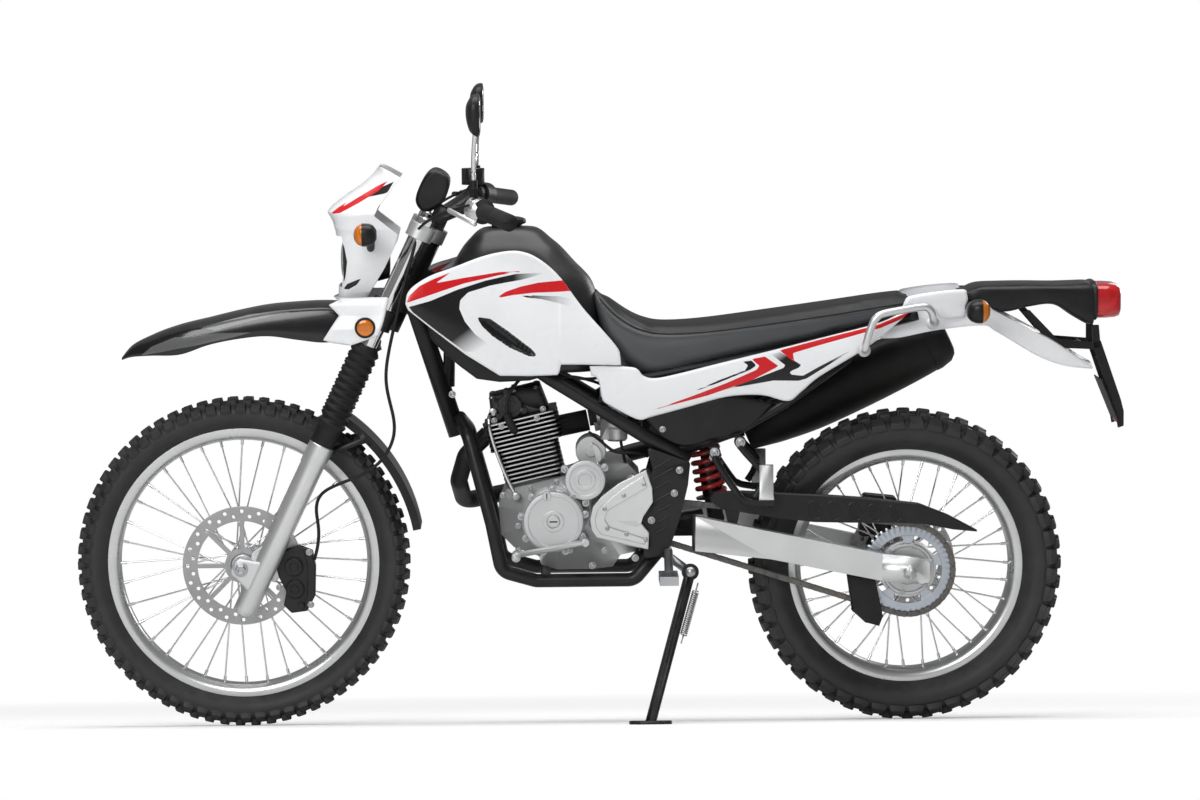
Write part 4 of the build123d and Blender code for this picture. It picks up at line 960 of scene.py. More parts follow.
def chainRun(count):
    # two wraps joined by the two outer tangents, walked at even steps
    first, second = np.array(chain["drive"], float), np.array(
        [machine["rearAxle"][0], machine["rearAxle"][2]], float
    )
    small, large = (
        chain["pitch"] / (2 * sin(pi / teeth)) for teeth in (chain["frontTeeth"], chain["rearTeeth"])
    )
    gap = np.linalg.norm(second - first)
    ahead = (second - first) / gap
    above = np.array([-ahead[1], ahead[0]])
    tilt = np.arcsin((large - small) / gap)
    run = gap * cos(tilt)
    start = atan2(ahead[1], ahead[0])
    lengths = np.array([run, large * (pi + 2 * tilt), run, small * (pi - 2 * tilt)])
    marks = np.concatenate([[0], np.cumsum(lengths)])
    place = np.linspace(0, marks[-1], count, endpoint=False)[:, None]
    top = above * cos(tilt) - ahead * sin(tilt)
    low = -above * cos(tilt) - ahead * sin(tilt)
    topAngle, lowAngle = start + pi / 2 + tilt, start - pi / 2 - tilt
    upper = first + small * top + (second + large * top - first - small * top) * (place / run)
    turn = topAngle - (place - marks[1]) / large
    rear = second + large * np.concatenate([np.cos(turn), np.sin(turn)], 1)
    lower = second + large * low + (first + small * low - second - large * low) * ((place - marks[2]) / run)
    turn = lowAngle - (place - marks[3]) / small
    front = first + small * np.concatenate([np.cos(turn), np.sin(turn)], 1)
    return np.where(
        place < marks[1], upper, np.where(place < marks[2], rear, np.where(place < marks[3], lower, front))
    )


def makeSprocket():
    # a toothed ring with five windows, each window a gap between two spans, and a carrier in the middle
    x, z = machine["rearAxle"][0], machine["rearAxle"][2]
    turn = np.linspace(0, 2 * pi, 460, endpoint=False)
    tooth = 92.6 + 3.2 * np.clip(1.6 * np.cos(46 * turn), -1, 1)
    tooth = np.minimum(tooth, 87 + 8.6)
    root, crown = np.full_like(tooth, 70.0), np.minimum(tooth, 90)
    sections = [(root, -74.8), (crown, -74.8), (tooth, -76.6), (tooth, -78.6), (crown, -80.8), (root, -80.8)]
    points = np.stack(
        [
            np.column_stack([x + reach * np.cos(turn), np.full_like(turn, across), z + reach * np.sin(turn)])
            for reach, across in sections
        ]
    )
    ring = points.reshape(-1, 3), gridQuads(len(sections), len(turn), True, True)
    spans = []
    for middle in np.arange(5) * 2 * pi / 5 + 0.3:
        left, right = middle + np.linspace(-0.2, 0.2, 8), middle + np.linspace(0.12, -0.12, 8)
        outline = np.concatenate(
            [
                np.column_stack([71 * np.cos(left), 71 * np.sin(left)]),
                np.column_stack([50 * np.cos(right), 50 * np.sin(right)])
            ]
        )
        spans.append(slabShape(outline, 0, 5.6))
    arms = [repeated(span, [(x, -75.0, z)], sideAxes) for span in spans]
    stand("sprocket-ring", joined(ring, *arms), "sprocket", "toothedSteel")
    carrier = repeated(
        turnedShape([(0, 54), (7, 54), (8.4, 52), (8.4, 47), (6, 46), (6, 32), (9, 30), (9, 20)], 80),
        [(x, -74.6, z)], sideAxes
    )
    bolts = np.arange(6) * 2 * pi / 6 + 0.3
    heads = repeated(
        boltShape(4.6),
        np.column_stack([x + 50.2 * np.cos(bolts), np.full(6, -82.6), z + 50.2 * np.sin(bolts)]), sideAxes
    )
    stand("sprocket-carrier", joined(carrier, heads), "sprocket", "castAlloy")


makeSprocket()


def makeChain():
    pins = chainRun(chain["links"])
    step = np.roll(pins, -1, 0) - pins
    centre = np.column_stack([pins[:, 0], np.full(len(pins), chain["centre"]), pins[:, 1]])
    along = np.column_stack(
        [step[:, 0], np.zeros(len(pins)), step[:, 1]]
    ) / np.linalg.norm(step, axis=1, keepdims=True)
    across = np.broadcast_to(np.array([0, -1.0, 0]), along.shape)
    axes = np.stack([along, np.cross(across, along), across], 1)
    # a link plate is two round ends and a waist
    end = np.linspace(-pi * 0.62, pi * 0.62, 9)
    right = np.column_stack([12.7 + 5.6 * np.cos(end), 5.6 * np.sin(end)])
    left = np.column_stack([-5.6 * np.cos(end), -5.6 * np.sin(end)])
    outline = np.concatenate([right, left])
    shapes = []
    for offset, levels in ((0, (6.6, 8.2)), (0, (-8.2, -6.6)), (1, (4.4, 6.2)), (1, (-6.2, -4.4))):
        shapes.append(repeated(slabShape(outline, *levels), centre[offset::2], axes[offset::2]))
    shapes.append(repeated(turnedShape([(-4.3, 4.0), (4.3, 4.0)], 10), centre, axes))
    shapes.append(repeated(turnedShape([(-8.8, 2.0), (8.8, 2.0)], 8), centre, axes))
    stand("chain-links", joined(*shapes), "chain", "chainSteel", sharp=40)


makeChain()
print("chain made")

# ---- body panels
panels = {
    "shroud": {
        "node": "tank_shrouds",
        "soft": ("upper",),
        "upper": [
            (-337, 885), (-336, 899), (-322, 919), (-287, 940), (-242, 955), (-184, 975), (-139, 984),
            (-105, 984), (-70, 970), (-28, 934), (20, 869), (90, 786), (93, 752)
        ],
        "lower": [
            (-337, 885), (-332, 873), (-287, 836), (-218, 781), (-149, 736), (-90, 734), (-32, 735),
            (-28, 742), (-26, 756), (20, 755), (93, 752)
        ],
        "plan": [(-340, 184), (-300, 182), (-200, 168), (-120, 154), (0, 141), (60, 134), (94, 129)],
        "lean": [(-340, 8), (-240, 28), (-139, 44), (-28, 26), (60, 6), (94, 0)],
        "red": [
            [
                (-334, 888), (-329, 902), (-308, 921), (-280, 934), (-246, 946), (-275, 926), (-218, 935),
                (-149, 944), (-89, 946), (-149, 938), (-218, 924), (-270, 908)
            ],
            [
                (-156, 892), (-136, 905), (-105, 915), (-70, 922), (-28, 925), (-8, 926), (30, 900),
                (-11, 904), (-28, 903), (-80, 902), (-122, 898)
            ],
        ],
        "black": [
            [
                (-330, 880), (-287, 891), (-232, 912), (-177, 928), (-115, 940), (-51, 942), (-105, 928),
                (-167, 918), (-211, 906), (-227, 891), (-229, 874), (-218, 848), (-198, 822), (-153, 787),
                (-218, 787), (-273, 829), (-322, 869)
            ],
            [(-120, 896), (-80, 897), (-28, 894), (-5, 889), (12, 868), (-28, 880), (-63, 889)],
            [
                (-193, 854), (-189, 856), (-167, 852), (-132, 827), (-84, 789), (-76, 779), (-77, 774),
                (-91, 775), (-129, 793), (-163, 817), (-184, 838)
            ],
        ],
    },
    "sideCover": {
        "node": "side_and_tail_covers",
        "soft": ("upper", "lower"),
        "upper": [
            (32, 751), (60, 751), (122, 747), (140, 731), (161, 725), (200, 731), (300, 755), (404, 779),
            (520, 807), (615, 830), (660, 848), (690, 858)
        ],
        "lower": [
            (32, 751), (33, 731), (44, 729), (54, 708), (57, 682), (76, 668), (129, 641), (157, 646),
            (230, 665), (293, 682), (335, 688), (385, 687), (434, 675), (462, 694), (497, 723), (571, 767),
            (615, 796), (690, 856)
        ],
        "plan": [(30, 126), (300, 126), (430, 122), (560, 118), (620, 112), (700, 96)],
        "lean": [(30, 0), (300, 5), (500, 8), (700, 2)],
        "red": [
            [
                (157, 660), (241, 689), (308, 714), (369, 740), (376, 748), (360, 762), (387, 767),
                (415, 747), (360, 719), (270, 689)
            ],
            [
                (417, 779), (480, 795), (553, 813), (612, 827), (660, 845), (690, 856), (690, 848),
                (623, 822), (571, 808), (500, 789), (444, 773), (447, 754)
            ],
        ],
        "black": [
            [
                (226, 691), (293, 720), (347, 740), (353, 750), (341, 757), (360, 759), (370, 749),
                (356, 740), (293, 715)
            ],
            [
                (308, 702), (367, 722), (426, 744), (428, 749), (399, 772), (419, 775), (464, 747),
                (438, 736), (438, 730), (464, 727), (497, 745), (566, 780), (516, 748), (471, 721),
                (456, 717), (404, 718)
            ],
        ],
    },
    "tailCover": {
        "node": "side_and_tail_covers",
        "soft": ("upper", "lower"),
        "upper": [(668, 862), (676, 880), (691, 886), (740, 893), (793, 896), (801, 888), (803, 878)],
        "lower": [(668, 862), (700, 860), (733, 857), (745, 839), (791, 841), (800, 860), (803, 878)],
        "plan": [(660, 100), (740, 96), (803, 88)],
        "lean": [(660, 4), (803, 6)],
        "red": [], "black": [],
    },
}
panelForm = {
    "thick": 2.6, "roll": 5.5, "scoopDepth": 9, "spacing": 3.4, "leanPower": 2.2, "tuck": 5, "tuckPower": 3
}


def interpolate(table, value):
    table = np.asarray(table, float)
    return np.interp(value, table[:, 0], table[:, 1])


def nearestField(places, outlines):
    # the least of the signed distances to several outlines, or a long way off when there are none
    if not outlines:
        return np.full(len(places), 50.0)
    return np.min([signedDistance(places, outline) for outline in outlines], 0)


def panelSurface(given):
    # the sheet between the two edge lines stands out by its plan, leans in towards its upper edge, and
    # rolls over by a quarter round all along its outline
    length = np.linalg.norm(np.diff(np.array(given["upper"], float), axis=0), axis=1).sum()
    columns = int(length / panelForm["spacing"])
    softened = {
        edge: smoothLine(given[edge], columns * 3) if edge in given.get("soft", ()) else given[edge]
        for edge in ("upper", "lower")
    }
    upper, lower = evenLine(softened["upper"], columns), evenLine(softened["lower"], columns)
    # the two lines are matched by how far along x they have come, so that the sheet's lines stay upright
    upperX, lowerX = np.maximum.accumulate(upper[:, 0]), np.maximum.accumulate(lower[:, 0])
    upperX = upperX + np.linspace(0, 1e-3, columns)
    lowerX = lowerX + np.linspace(0, 1e-3, columns)
    x = np.linspace(min(upperX[0], lowerX[0]), max(upperX[-1], lowerX[-1]), columns)
    top = np.interp(x, upperX, upper[:, 1])
    low = np.interp(x, lowerX, lower[:, 1])
    rows = max(14, int(np.max(top - low) / panelForm["spacing"]))
    across = (1 - np.cos(np.linspace(0, pi, rows))) / 2
    height = low[:, None] + (top - low)[:, None] * across[None]
    long = np.broadcast_to(x[:, None], height.shape)
    outline = np.concatenate([np.column_stack([x, top]), np.column_stack([x, low])[::-1][1:-1]])
    places = np.column_stack([long.ravel(), height.ravel()])
    inside = np.maximum(0, -signedDistance(places, outline)).reshape(height.shape)
    plan, lean = interpolate(given["plan"], long), interpolate(given["lean"], long)
    out = plan - lean * across[None] ** panelForm["leanPower"]
    out = out - panelForm["tuck"] * (1 - across[None]) ** panelForm["tuckPower"]
    edge = np.clip(1 - inside / panelForm["roll"], 0, 1)
    out = out - panelForm["roll"] * (1 - np.sqrt(np.maximum(0, 1 - edge**2)))
    if given.get("upended"):
        return height, long, out, places[:, ::-1]
    return long, height, out, places


def rimStrip(rim, step):
    # a closed line of points joined to the same line on the other face, step points further on
    following = np.roll(rim, -1)
    return np.stack([rim, following, following + step, rim + step], -1)


def closedSheet(outer, inner, rows, columns):
    # an outer and an inner face of the same grid, and a strip that joins them round the rim
    faces = gridQuads(rows, columns)
    count = rows * columns
    rim = np.concatenate(
        [
            np.arange(columns), np.arange(1, rows) * columns + columns - 1,
            (rows - 1) * columns + np.arange(columns - 2, -1, -1), np.arange(rows - 2, 0, -1) * columns
        ]
    )
    strip = rimStrip(rim, count)
    return np.concatenate([outer, inner]), np.concatenate([faces, faces[:, ::-1] + count, strip])


def fade(places, start, end):
    # falls from one to nothing along the line from one place to another
    start, end = np.asarray(start, float), np.asarray(end, float)
    step = end - start
    return 1 - np.clip((places - start) @ step / (step @ step), 0, 1)


def makePanel(name, given, side):
    long, height, out, places = panelSurface(given)
    if name == "shroud":
        dent = np.clip(-signedDistance(places, given["black"][2]) / 11, 0, 1).reshape(out.shape)
        out = out - panelForm["scoopDepth"] * dent * dent * (3 - 2 * dent)
    outer, inner = placesOf(long, side * out, height), placesOf(
        long, side * (out - panelForm["thick"]), height
    )
    both = np.concatenate([places, places])
    strength = np.ones(len(both))
    if name == "shroud":
        tail = fade(both, (-118, 936), (-56, 942))
        low = fade(both, (-200, 842), (-172, 803))
        strength = np.where(both[:, 1] > 895, np.where(both[:, 0] > -125, tail, 1), low)
        strength = np.where(signedDistance(both, given["black"][2]) < 2, 1, strength)
        second = signedDistance(both, given["black"][1]) < 3
        strength = np.where(second, fade(both, (-90, 893), (-2, 880)), strength)
    if name == "sideCover":
        strength = np.where((both[:, 0] > 390) & (both[:, 1] > 752), fade(both, (416, 756), (404, 776)), 1)
        strength = np.where((both[:, 0] > 500), fade(both, (520, 755), (575, 786)), strength)
    fields = {
        "red": (nearestField(both, given["red"]), 1.0),
        "black": (nearestField(both, given["black"]), strength)
    }
    label = name + ("Left" if side < 0 else "Right")
    sheetPiece(label, outer, inner, "chassis", "paintedPanel", "white_plastic", given["node"], fields=fields)


for name, given in panels.items():
    for side in (-1, 1):
        makePanel(name, given, side)

# the black panels under the side covers and under the tank, plain and lightly grained
darkPanels = {
    "lowerSidePanel": {
        "soft": ("upper", "lower"),
        "upper": [(143, 644), (170, 655), (218, 670), (317, 685), (360, 680), (405, 671)],
        "lower": [(143, 644), (160, 622), (185, 599), (225, 585), (280, 596), (350, 616), (405, 671)],
        "plan": [
            (140, 118), (300, 117), (410, 112)
        ], "lean": [(140, 0), (410, 2)], "nodes": ("side_and_tail_covers",),
    },
    "tankSidePanel": {
        "upper": [
            (-296, 845), (-290, 842), (-240, 806), (-190, 770), (-150, 742), (-110, 739), (-60, 738),
            (-30, 738)
        ],
        "lower": [
            (-296, 845), (-290, 812), (-270, 788), (-232, 754), (-196, 727), (-150, 720), (-90, 722),
            (-30, 738)
        ],
        "plan": [
            (-300, 116), (-240, 124), (-200, 128), (-30, 122)
        ], "lean": [(-330, 0), (-30, 0)], "nodes": (),
    },
}


def makeDarkPanel(name, given, side):
    long, height, out, _ = panelSurface(given)
    outer, inner = placesOf(long, side * out, height), placesOf(
        long, side * (out - panelForm["thick"]), height
    )
    label = name + ("Left" if side < 0 else "Right")
    sheetPiece(label, outer, inner, "chassis", "blackPanel", "black_plastic", *given["nodes"])


for name, given in darkPanels.items():
    for side in (-1, 1):
        makeDarkPanel(name, given, side)
print("panels made")

# ---- tank, as level rounded sections: height, front, rear, half width
tank = {
    "sections": [
        (735, -215, 58, 96), (750, -232, 60, 108), (800, -246, 60, 116), (860, -258, 54, 119),
        (915, -256, 40, 112), (957, -240, 3, 98), (985, -224, -22, 84), (1004, -208, -44, 68),
        (1018, -194, -60, 54), (1025, -182, -72, 42), (1027, -172, -82, 32)
    ],
    "columns": 96, "power": 2.7,
}


def makeTank():
    table = smoothLine(np.array(tank["sections"], float), 60)
    level, front, rear, half = table.T
    rings = placesOf((front + rear) / 2, 0, level), placesOf(0, half, 0), placesOf((rear - front) / 2, 0, 0)
    stand("tank", loftedBody(*rings, tank["columns"], tank["power"]), "fuel_tank", "satinTank", sharp=60)


makeTank()

# the filler cap: a skirt with fine ribs under a domed top
capProfile = [
    (1027, 30), (1031, 31), (1034, 38.5), (1036, 39.6), (1040, 39.6), (1042.5, 38.6), (1045, 34), (1047, 26),
    (1048.4, 14), (1048.8, 0.4)
]


def makeCap():
    shape = turnedShape(capProfile, 96)
    points = shape[0].copy()
    angle = np.arctan2(points[:, 1], points[:, 0])
    skirt = (points[:, 2] > 1033) & (points[:, 2] < 1041)
    points[:, :2] *= np.where(
        skirt, 1 - 0.018 * (np.round(angle / (2 * pi) * 96).astype(int) % 2), 1
    )[:, None]
    stand("filler-cap", (points + np.array([-133, 0, 0]), *shape[1:]), "fuel_cap", "blackPanel", sharp=40)


makeCap()
print("tank made")

# ---- seat
seat = {
    "stations": [
        ((50, 909), (44, 888), 50), ((64, 893), (52, 850), 74), ((88, 869), (62, 808), 94),
        ((119, 847), (86, 770), 106),
        ((150, 834), (112, 741), 112), ((190, 828), (150, 722), 116), ((269, 832), (252, 740), 118),
        ((400, 848), (396, 775), 118), ((520, 864), (517, 803), 111),
        ((620, 878), (612, 828), 100), ((676, 885), (670, 855), 86), ((694, 888), (690, 870), 64),
    ],
    "smaller": 4.0, "topBand": 15, "voxel": 0.0055, "pressure": 4.0, "move": 0.006, "columns": 60,
    "power": 3.2, "piping": 2.2, "fill": 0.95,
}


def seatRings(shrink, count=64):
    table = np.array([(*top, *low, half) for top, low, half in seat["stations"]], float)
    table = smoothLine(table, count)
    top, low, half = table[:, :2], table[:, 2:4], table[:, 4] - shrink
    middle, reach = (top + low) / 2, (top - low) / 2
    length = np.linalg.norm(reach, axis=1, keepdims=True)
    reach = reach * (length - shrink) / length
    middle, reach = (placesOf(line[:, 0], 0, line[:, 1]) for line in (middle, reach))
    return middle, placesOf(0, half, 0), reach


def makeSeat():
    points, *faceSets = loftedBody(*seatRings(seat["smaller"]), seat["columns"], seat["power"])
    mesh = newMesh("seat-cover", parked(points), *faceSets)
    piece = shown("seat-cover", mesh, bodyOf["seat"], made["vinyl"], slotOf["seat"], "seat", sharp=0)
    squared(piece)
    remesh = piece.modifiers.new("even", "REMESH")
    remesh.mode = "VOXEL"
    remesh.voxel_size = seat["voxel"]
    remesh.use_smooth_shade = True
    applied = bpy.data.meshes.new_from_object(piece.evaluated_get(bpy.context.evaluated_depsgraph_get()))
    piece.modifiers.clear()
    piece.data = applied
    applied.name = "seat-cover"
    inflate(piece)
    applied = piece.data
    for polygon in applied.polygons:
        polygon.use_smooth = True
    if not applied.materials:
        applied.materials.append(made["vinyl"])
    # the cover's darker top ends at a line a set way below its own upper edge
    top = np.array([station[0] for station in seat["stations"]], float)
    places = meshPlaces(piece.data)
    line = np.interp(places[:, 0], top[:, 0], top[:, 1]) - seat["topBand"]
    keepFields(piece, {"top": (line - places[:, 2], 1.0)})
    piece.data.materials.clear()
    piece.data.materials.append(made["seatVinyl"])
    smooth = piece.modifiers.new("smooth", "SUBSURF")
    smooth.levels = smooth.render_levels = 1
    return piece


def inflate(piece):
    # cloth under a light pressure fills the cover out; no point may move further than the given distance
    count = len(piece.data.vertices)
    before = np.empty(count * 3, np.float32)
    piece.data.vertices.foreach_get("co", before)
    cloth = piece.modifiers.new("cloth", "CLOTH")
    cloth.settings.quality = 4
    cloth.settings.use_pressure = True
    cloth.settings.uniform_pressure_force = seat["pressure"]
    cloth.settings.effector_weights.gravity = 0
    cloth.settings.tension_stiffness = 30
    cloth.settings.compression_stiffness = 30
    cloth.settings.bending_stiffness = 4
    cloth.collision_settings.use_collision = False
    cloth.point_cache.frame_start, cloth.point_cache.frame_end = 1, 20
    for step in range(1, 21):
        scene.frame_set(step)
        bpy.context.view_layer.update()
    settled = bpy.data.meshes.new_from_object(piece.evaluated_get(bpy.context.evaluated_depsgraph_get()))
    piece.modifiers.clear()
    scene.frame_set(1)
    after = np.empty(count * 3, np.float32)
    settled.vertices.foreach_get("co", after)
    moved = (after - before).reshape(-1, 3)
    far = np.linalg.norm(moved, axis=1, keepdims=True)
    kept = before.reshape(-1, 3) + moved * np.minimum(1, seat["move"] / np.maximum(far, 1e-9))
    settled.vertices.foreach_set("co", kept.astype(np.float32).ravel())
    settled.update()
    piece.data = settled
    print("seat moved", round(float(far.max()) * 1000, 2), "mm at most")


makeSeat()


def seatPiping():
    # a welt a set way below each upper edge, where the top of the cover meets its sides
    centre, wide, tall = seatRings(0.6, 90)
    length = np.linalg.norm(tall, axis=1)
    part = np.clip(1 - seat["topBand"] / length, -0.2, 0.92)
    across = (1 - np.abs(part) ** seat["power"]) ** (1 / seat["power"])
    shapes = [
        tubeAlong((centre + side * wide * across[:, None] + tall * part[:, None])[6:-4], seat["piping"], 8)
        for side in (-1, 1)
    ]
    build("seat-welt", joined(*shapes), bodyOf["seat"], "blackPanel", slotOf["seat"], sharp=0)


seatPiping()
print("seat made")

# ---- cowl, headlamp, fork cover
cowl = {
    "front": [
        (880, -474), (895, -477), (962, -474), (1024, -481), (1045, -487), (1063, -498), (1076, -486),
        (1097, -458), (1117, -427), (1140, -402), (1154, -392)
    ],
    "rear": [
        (880, -424), (907, -408), (952, -380), (995, -359), (1020, -352), (1057, -400), (1076, -391),
        (1114, -361), (1133, -346), (1148, -372), (1154, -386)
    ],
    "half": [(880, 68), (900, 80), (960, 96), (1030, 106), (1063, 104), (1100, 92), (1130, 80), (1154, 66)],
    "bend": [(1030, 0.42), (1070, 0.62)], "sideBend": 0.06,
    "window": (0.72, 912, 1016), "columns": 97, "rows": 92, "thick": 2.4,
    "red": [
        (-491, 1060), (-470, 1076), (-455, 1085), (-463, 1076), (-428, 1097), (-394, 1117), (-370, 1128),
        (-390, 1108), (-430, 1084), (-468, 1064)
    ],
    "black": [
        [(-441, 1081), (-415, 1097), (-387, 1114), (-359, 1126), (-373, 1103), (-415, 1095)],
        [(-465, 908), (-457, 919), (-426, 932), (-438, 917), (-454, 908)]
    ],
}


def cowlAt(level, turn):
    # a level section is a rounded prow: its depth falls off as one minus the power two thirds of the cosine
    # of the turn
    front, rear, half = (interpolate(cowl[key], level) for key in ("front", "rear", "half"))
    bend = interpolate(cowl["bend"], level)
    x = rear - (rear - front) * np.abs(np.cos(turn)) ** bend
    y = half * np.sign(np.sin(turn)) * np.abs(np.sin(turn)) ** (bend + cowl["sideBend"])
    return placesOf(x, y, level)


def makeCowl():
    windowTurn, lowWindow, highWindow = cowl["window"]
    level = np.unique(np.concatenate([np.linspace(880, 1154, cowl["rows"]), [lowWindow, highWindow]]))
    turn = np.unique(
        np.concatenate([np.linspace(-pi / 2, pi / 2, cowl["columns"]), [-windowTurn, windowTurn]])
    )
    outer = cowlAt(level[:, None], turn[None])
    rows, columns = outer.shape[:2]
    # the inner face lies behind the outer one along the line to the middle of the section
    inwards = np.array([-360.0, 0, 0]) + outer * [0, 0, 1] - outer
    inwards /= np.maximum(np.linalg.norm(inwards, axis=-1, keepdims=True), 1e-6)
    inner = outer + inwards * cowl["thick"]
    quads = gridQuads(rows, columns)
    centres = outer.reshape(-1, 3)[quads].mean(1)
    middleTurn = np.repeat(((turn[1:] + turn[:-1]) / 2)[None], rows - 1, 0).ravel()
    hole = (np.abs(middleTurn) < windowTurn) & (centres[:, 2] > lowWindow) & (centres[:, 2] < highWindow)
    kept = quads[~hole]
    count = rows * columns
    # the rim is every edge that only one kept face uses
    edges = np.concatenate([kept[:, [0, 1]], kept[:, [1, 2]], kept[:, [2, 3]], kept[:, [3, 0]]])
    key = np.sort(edges, 1) @ np.array([count, 1])
    _, first, uses = np.unique(key, return_index=True, return_counts=True)
    rim = edges[first[uses == 1]]
    strip = np.stack([rim[:, 1], rim[:, 0], rim[:, 0] + count, rim[:, 1] + count], -1)
    points = np.concatenate([outer.reshape(-1, 3), inner.reshape(-1, 3)])
    mesh = newMesh("cowl", parked(points), np.concatenate([kept, kept[:, ::-1] + count, strip]))
    piece = shown(
        "cowl", mesh, "steering", made["paintedPanel"], slotOf["headlight_cowl"], "headlight_cowl", sharp=0
    )
    places = points[:, [0, 2]]
    keepFields(
        piece,
        {
            "red": (nearestField(places, [cowl["red"]]), 1.0),
            "black": (nearestField(places, cowl["black"]), 1.0)
        }
    )
    work = bmesh.new()
    work.from_mesh(mesh)
    bmesh.ops.remove_doubles(work, verts=work.verts, dist=0.00001)
    loose = [vertex for vertex in work.verts if not vertex.link_faces]
    bmesh.ops.delete(work, geom=loose, context="VERTS")
    bmesh.ops.recalc_face_normals(work, faces=work.faces)
    work.to_mesh(mesh)
    work.free()
    mesh.set_sharp_from_angle(angle=radians(50))


makeCowl()

frontAxes = np.array([[0, -1, 0], [0, 0, 1], [-1, 0, 0]], float)  # for a shape that looks forwards


def lampOutline(halfWide, low, high, count=64, power=3.4):
    # the lamp is a rounded box, a little narrower below
    angle = np.linspace(0, 2 * pi, count, endpoint=False)
    bend = 2 / power
    x, y = squaredCircle(angle, bend)
    lowerNarrows = 0.14
    narrow = 1 - lowerNarrows * np.clip(-y, 0, 1)
    return np.column_stack([halfWide * x * narrow, (low + high) / 2 + (high - low) / 2 * y])


def makeHeadlamp():
    # lens: each ring is the outline drawn in and moved forwards as a shallow dome
    halfWide, low, high = 80, 916, 1012
    lensFront, lensThick, lensRise, bowlFront = -459, 3, 13, -458
    turns = [part * pi / 2 for part in np.linspace(0, 1, 14)]
    outline = lampOutline(halfWide, low, high)
    centre = np.array([0, (low + high) / 2])

    def domed(scale, depth, start):
        ring = centre + (outline - centre) * scale
        return np.column_stack([np.full(len(ring), start - depth), -ring[:, 0], ring[:, 1]])

    def dome(scales, depths, start):
        return np.concatenate([domed(scale, depth, start) for scale, depth in zip(scales, depths)])

    scales = [0.02 + 0.98 * sin(turn) for turn in turns]
    lens = dome(scales, [lensRise * cos(turn) for turn in turns], lensFront)
    back = dome(scales, [lensRise * cos(turn) - lensThick for turn in turns], lensFront)
    count = len(outline)
    quads = gridQuads(len(turns), count, False, True)
    last = (len(turns) - 1) * count + np.arange(count)
    total = len(lens)
    cap = np.arange(count)[None]
    stand(
        "headlamp-lens",
        (
            np.concatenate([lens, back]), np.concatenate([quads, quads + total, rimStrip(last, total)]),
            np.concatenate([cap, cap + total])
        ),
        "headlamp", "clearLens", sharp=50
    )
    # bowl behind: rings fall back to the bulb
    scale = np.array([1.0, 0.96, 0.84, 0.66, 0.44, 0.24])
    depth = -np.array([0, 4, 26, 46, 60, 64.0])
    bowl, outer = dome(scale, depth, bowlFront), dome(scale + 0.03, depth - 2.5, bowlFront)
    quads = gridQuads(len(scale), count, False, True)
    total = len(bowl)
    first, last = np.arange(count), (len(scale) - 1) * count + np.arange(count)
    stand(
        "headlamp-bowl",
        (
            np.concatenate([bowl, outer]),
            np.concatenate([quads, quads + total, rimStrip(first, total), rimStrip(last, total)])
        ),
        "headlamp", "lampShell", sharp=45
    )
    bulb = repeated(
        turnedShape([(0, 14), (4, 14), (5, 7), (20, 7), (24, 5.5), (27, 0.4)], 28),
        [(-396, 0, (low + high) / 2)], frontAxes
    )
    stand("headlamp-bulb", bulb, "headlamp", "lampShell", sharp=40)
    rear = repeated(
        turnedShape([(-24, 26), (-22, 40), (0, 46), (4, 44)], 48), [(-396, 0, (low + high) / 2)], frontAxes
    )
    stand("headlamp-back", rear, "headlamp", "blackPanel", sharp=40)
    # bezel: a frame between the lens and the cowl's window
    inner, outer = lampOutline(halfWide + 0.5, low - 0.5, high + 0.5), lampOutline(
        halfWide + 6, low - 7, high + 7, power=6
    )
    levels = [(inner, -452), (inner, -462), (outer, -464), (outer, -446)]
    points = np.concatenate(
        [np.column_stack([np.full(count, x), -ring[:, 0], ring[:, 1]]) for ring, x in levels]
    )
    stand("headlamp-bezel", (points, gridQuads(4, count, True, True)), "headlamp", "blackPanel", sharp=40)


makeHeadlamp()

forkCover = {
    # here the lines run up the plate: first its rear edge, then its front one, as (height, x)
    "upended": True,
    "upper": [(797, -452), (806, -424), (817, -393), (847, -382), (892, -371), (896, -382), (889, -473)],
    "lower": [(797, -452), (802, -488), (808, -506), (830, -492), (858, -473), (879, -494), (889, -473)],
    "plan": [(797, 120), (830, 126), (896, 116)], "lean": [(797, -6), (896, -6)],
    "reflector": (-420, 834, 21),
}


def makeForkCover(side, label):
    # the plate under the lamp, rounded over its outline
    long, height, out, _ = panelSurface(forkCover)
    outer, inner = placesOf(long, side * out, height), placesOf(
        long, side * (out - panelForm["thick"]), height
    )
    fields = {"red": (50.0, 1.0), "black": (50.0, 1.0)}
    sheetPiece(
        "fork-cover-" + label, outer, inner, "steering", "paintedPanel", "white_plastic", fields=fields
    )


for side, label in sides:
    makeForkCover(side, label)


def reflectors():
    x, z, radius = forkCover["reflector"]
    ring = [
        (-3, radius), (3, radius), (4, radius - 1), (4, radius - 4), (2.5, radius - 4.6), (-3, radius - 4.6)
    ]
    lens = [(-1, radius - 4.6), (3.0, radius - 4.6), (4.2, radius - 7), (4.8, radius - 12), (5, 0.3)]
    for side, label in sides:
        axes = axesOn[side]
        place = [(x, side * 127.5, z)]
        build(
            "reflector-ring-" + label, repeated(turnedShape(ring, 48), place, axes), "steering", "blackPanel",
            "black_plastic", sharp=40
        )
        build(
            "reflector-lens-" + label, repeated(turnedShape(lens, 48), place, axes), "steering", "amberLens",
            "amber_lens", sharp=40
        )


reflectors()

# ---- instruments: a rounded housing with a dark screen in its rear face
instrument = {
    "outline": [(-276, 1147), (-248, 1125), (-262, 1080), (-298, 1062), (-317, 1086), (-300, 1130)],
    "half": 60
}


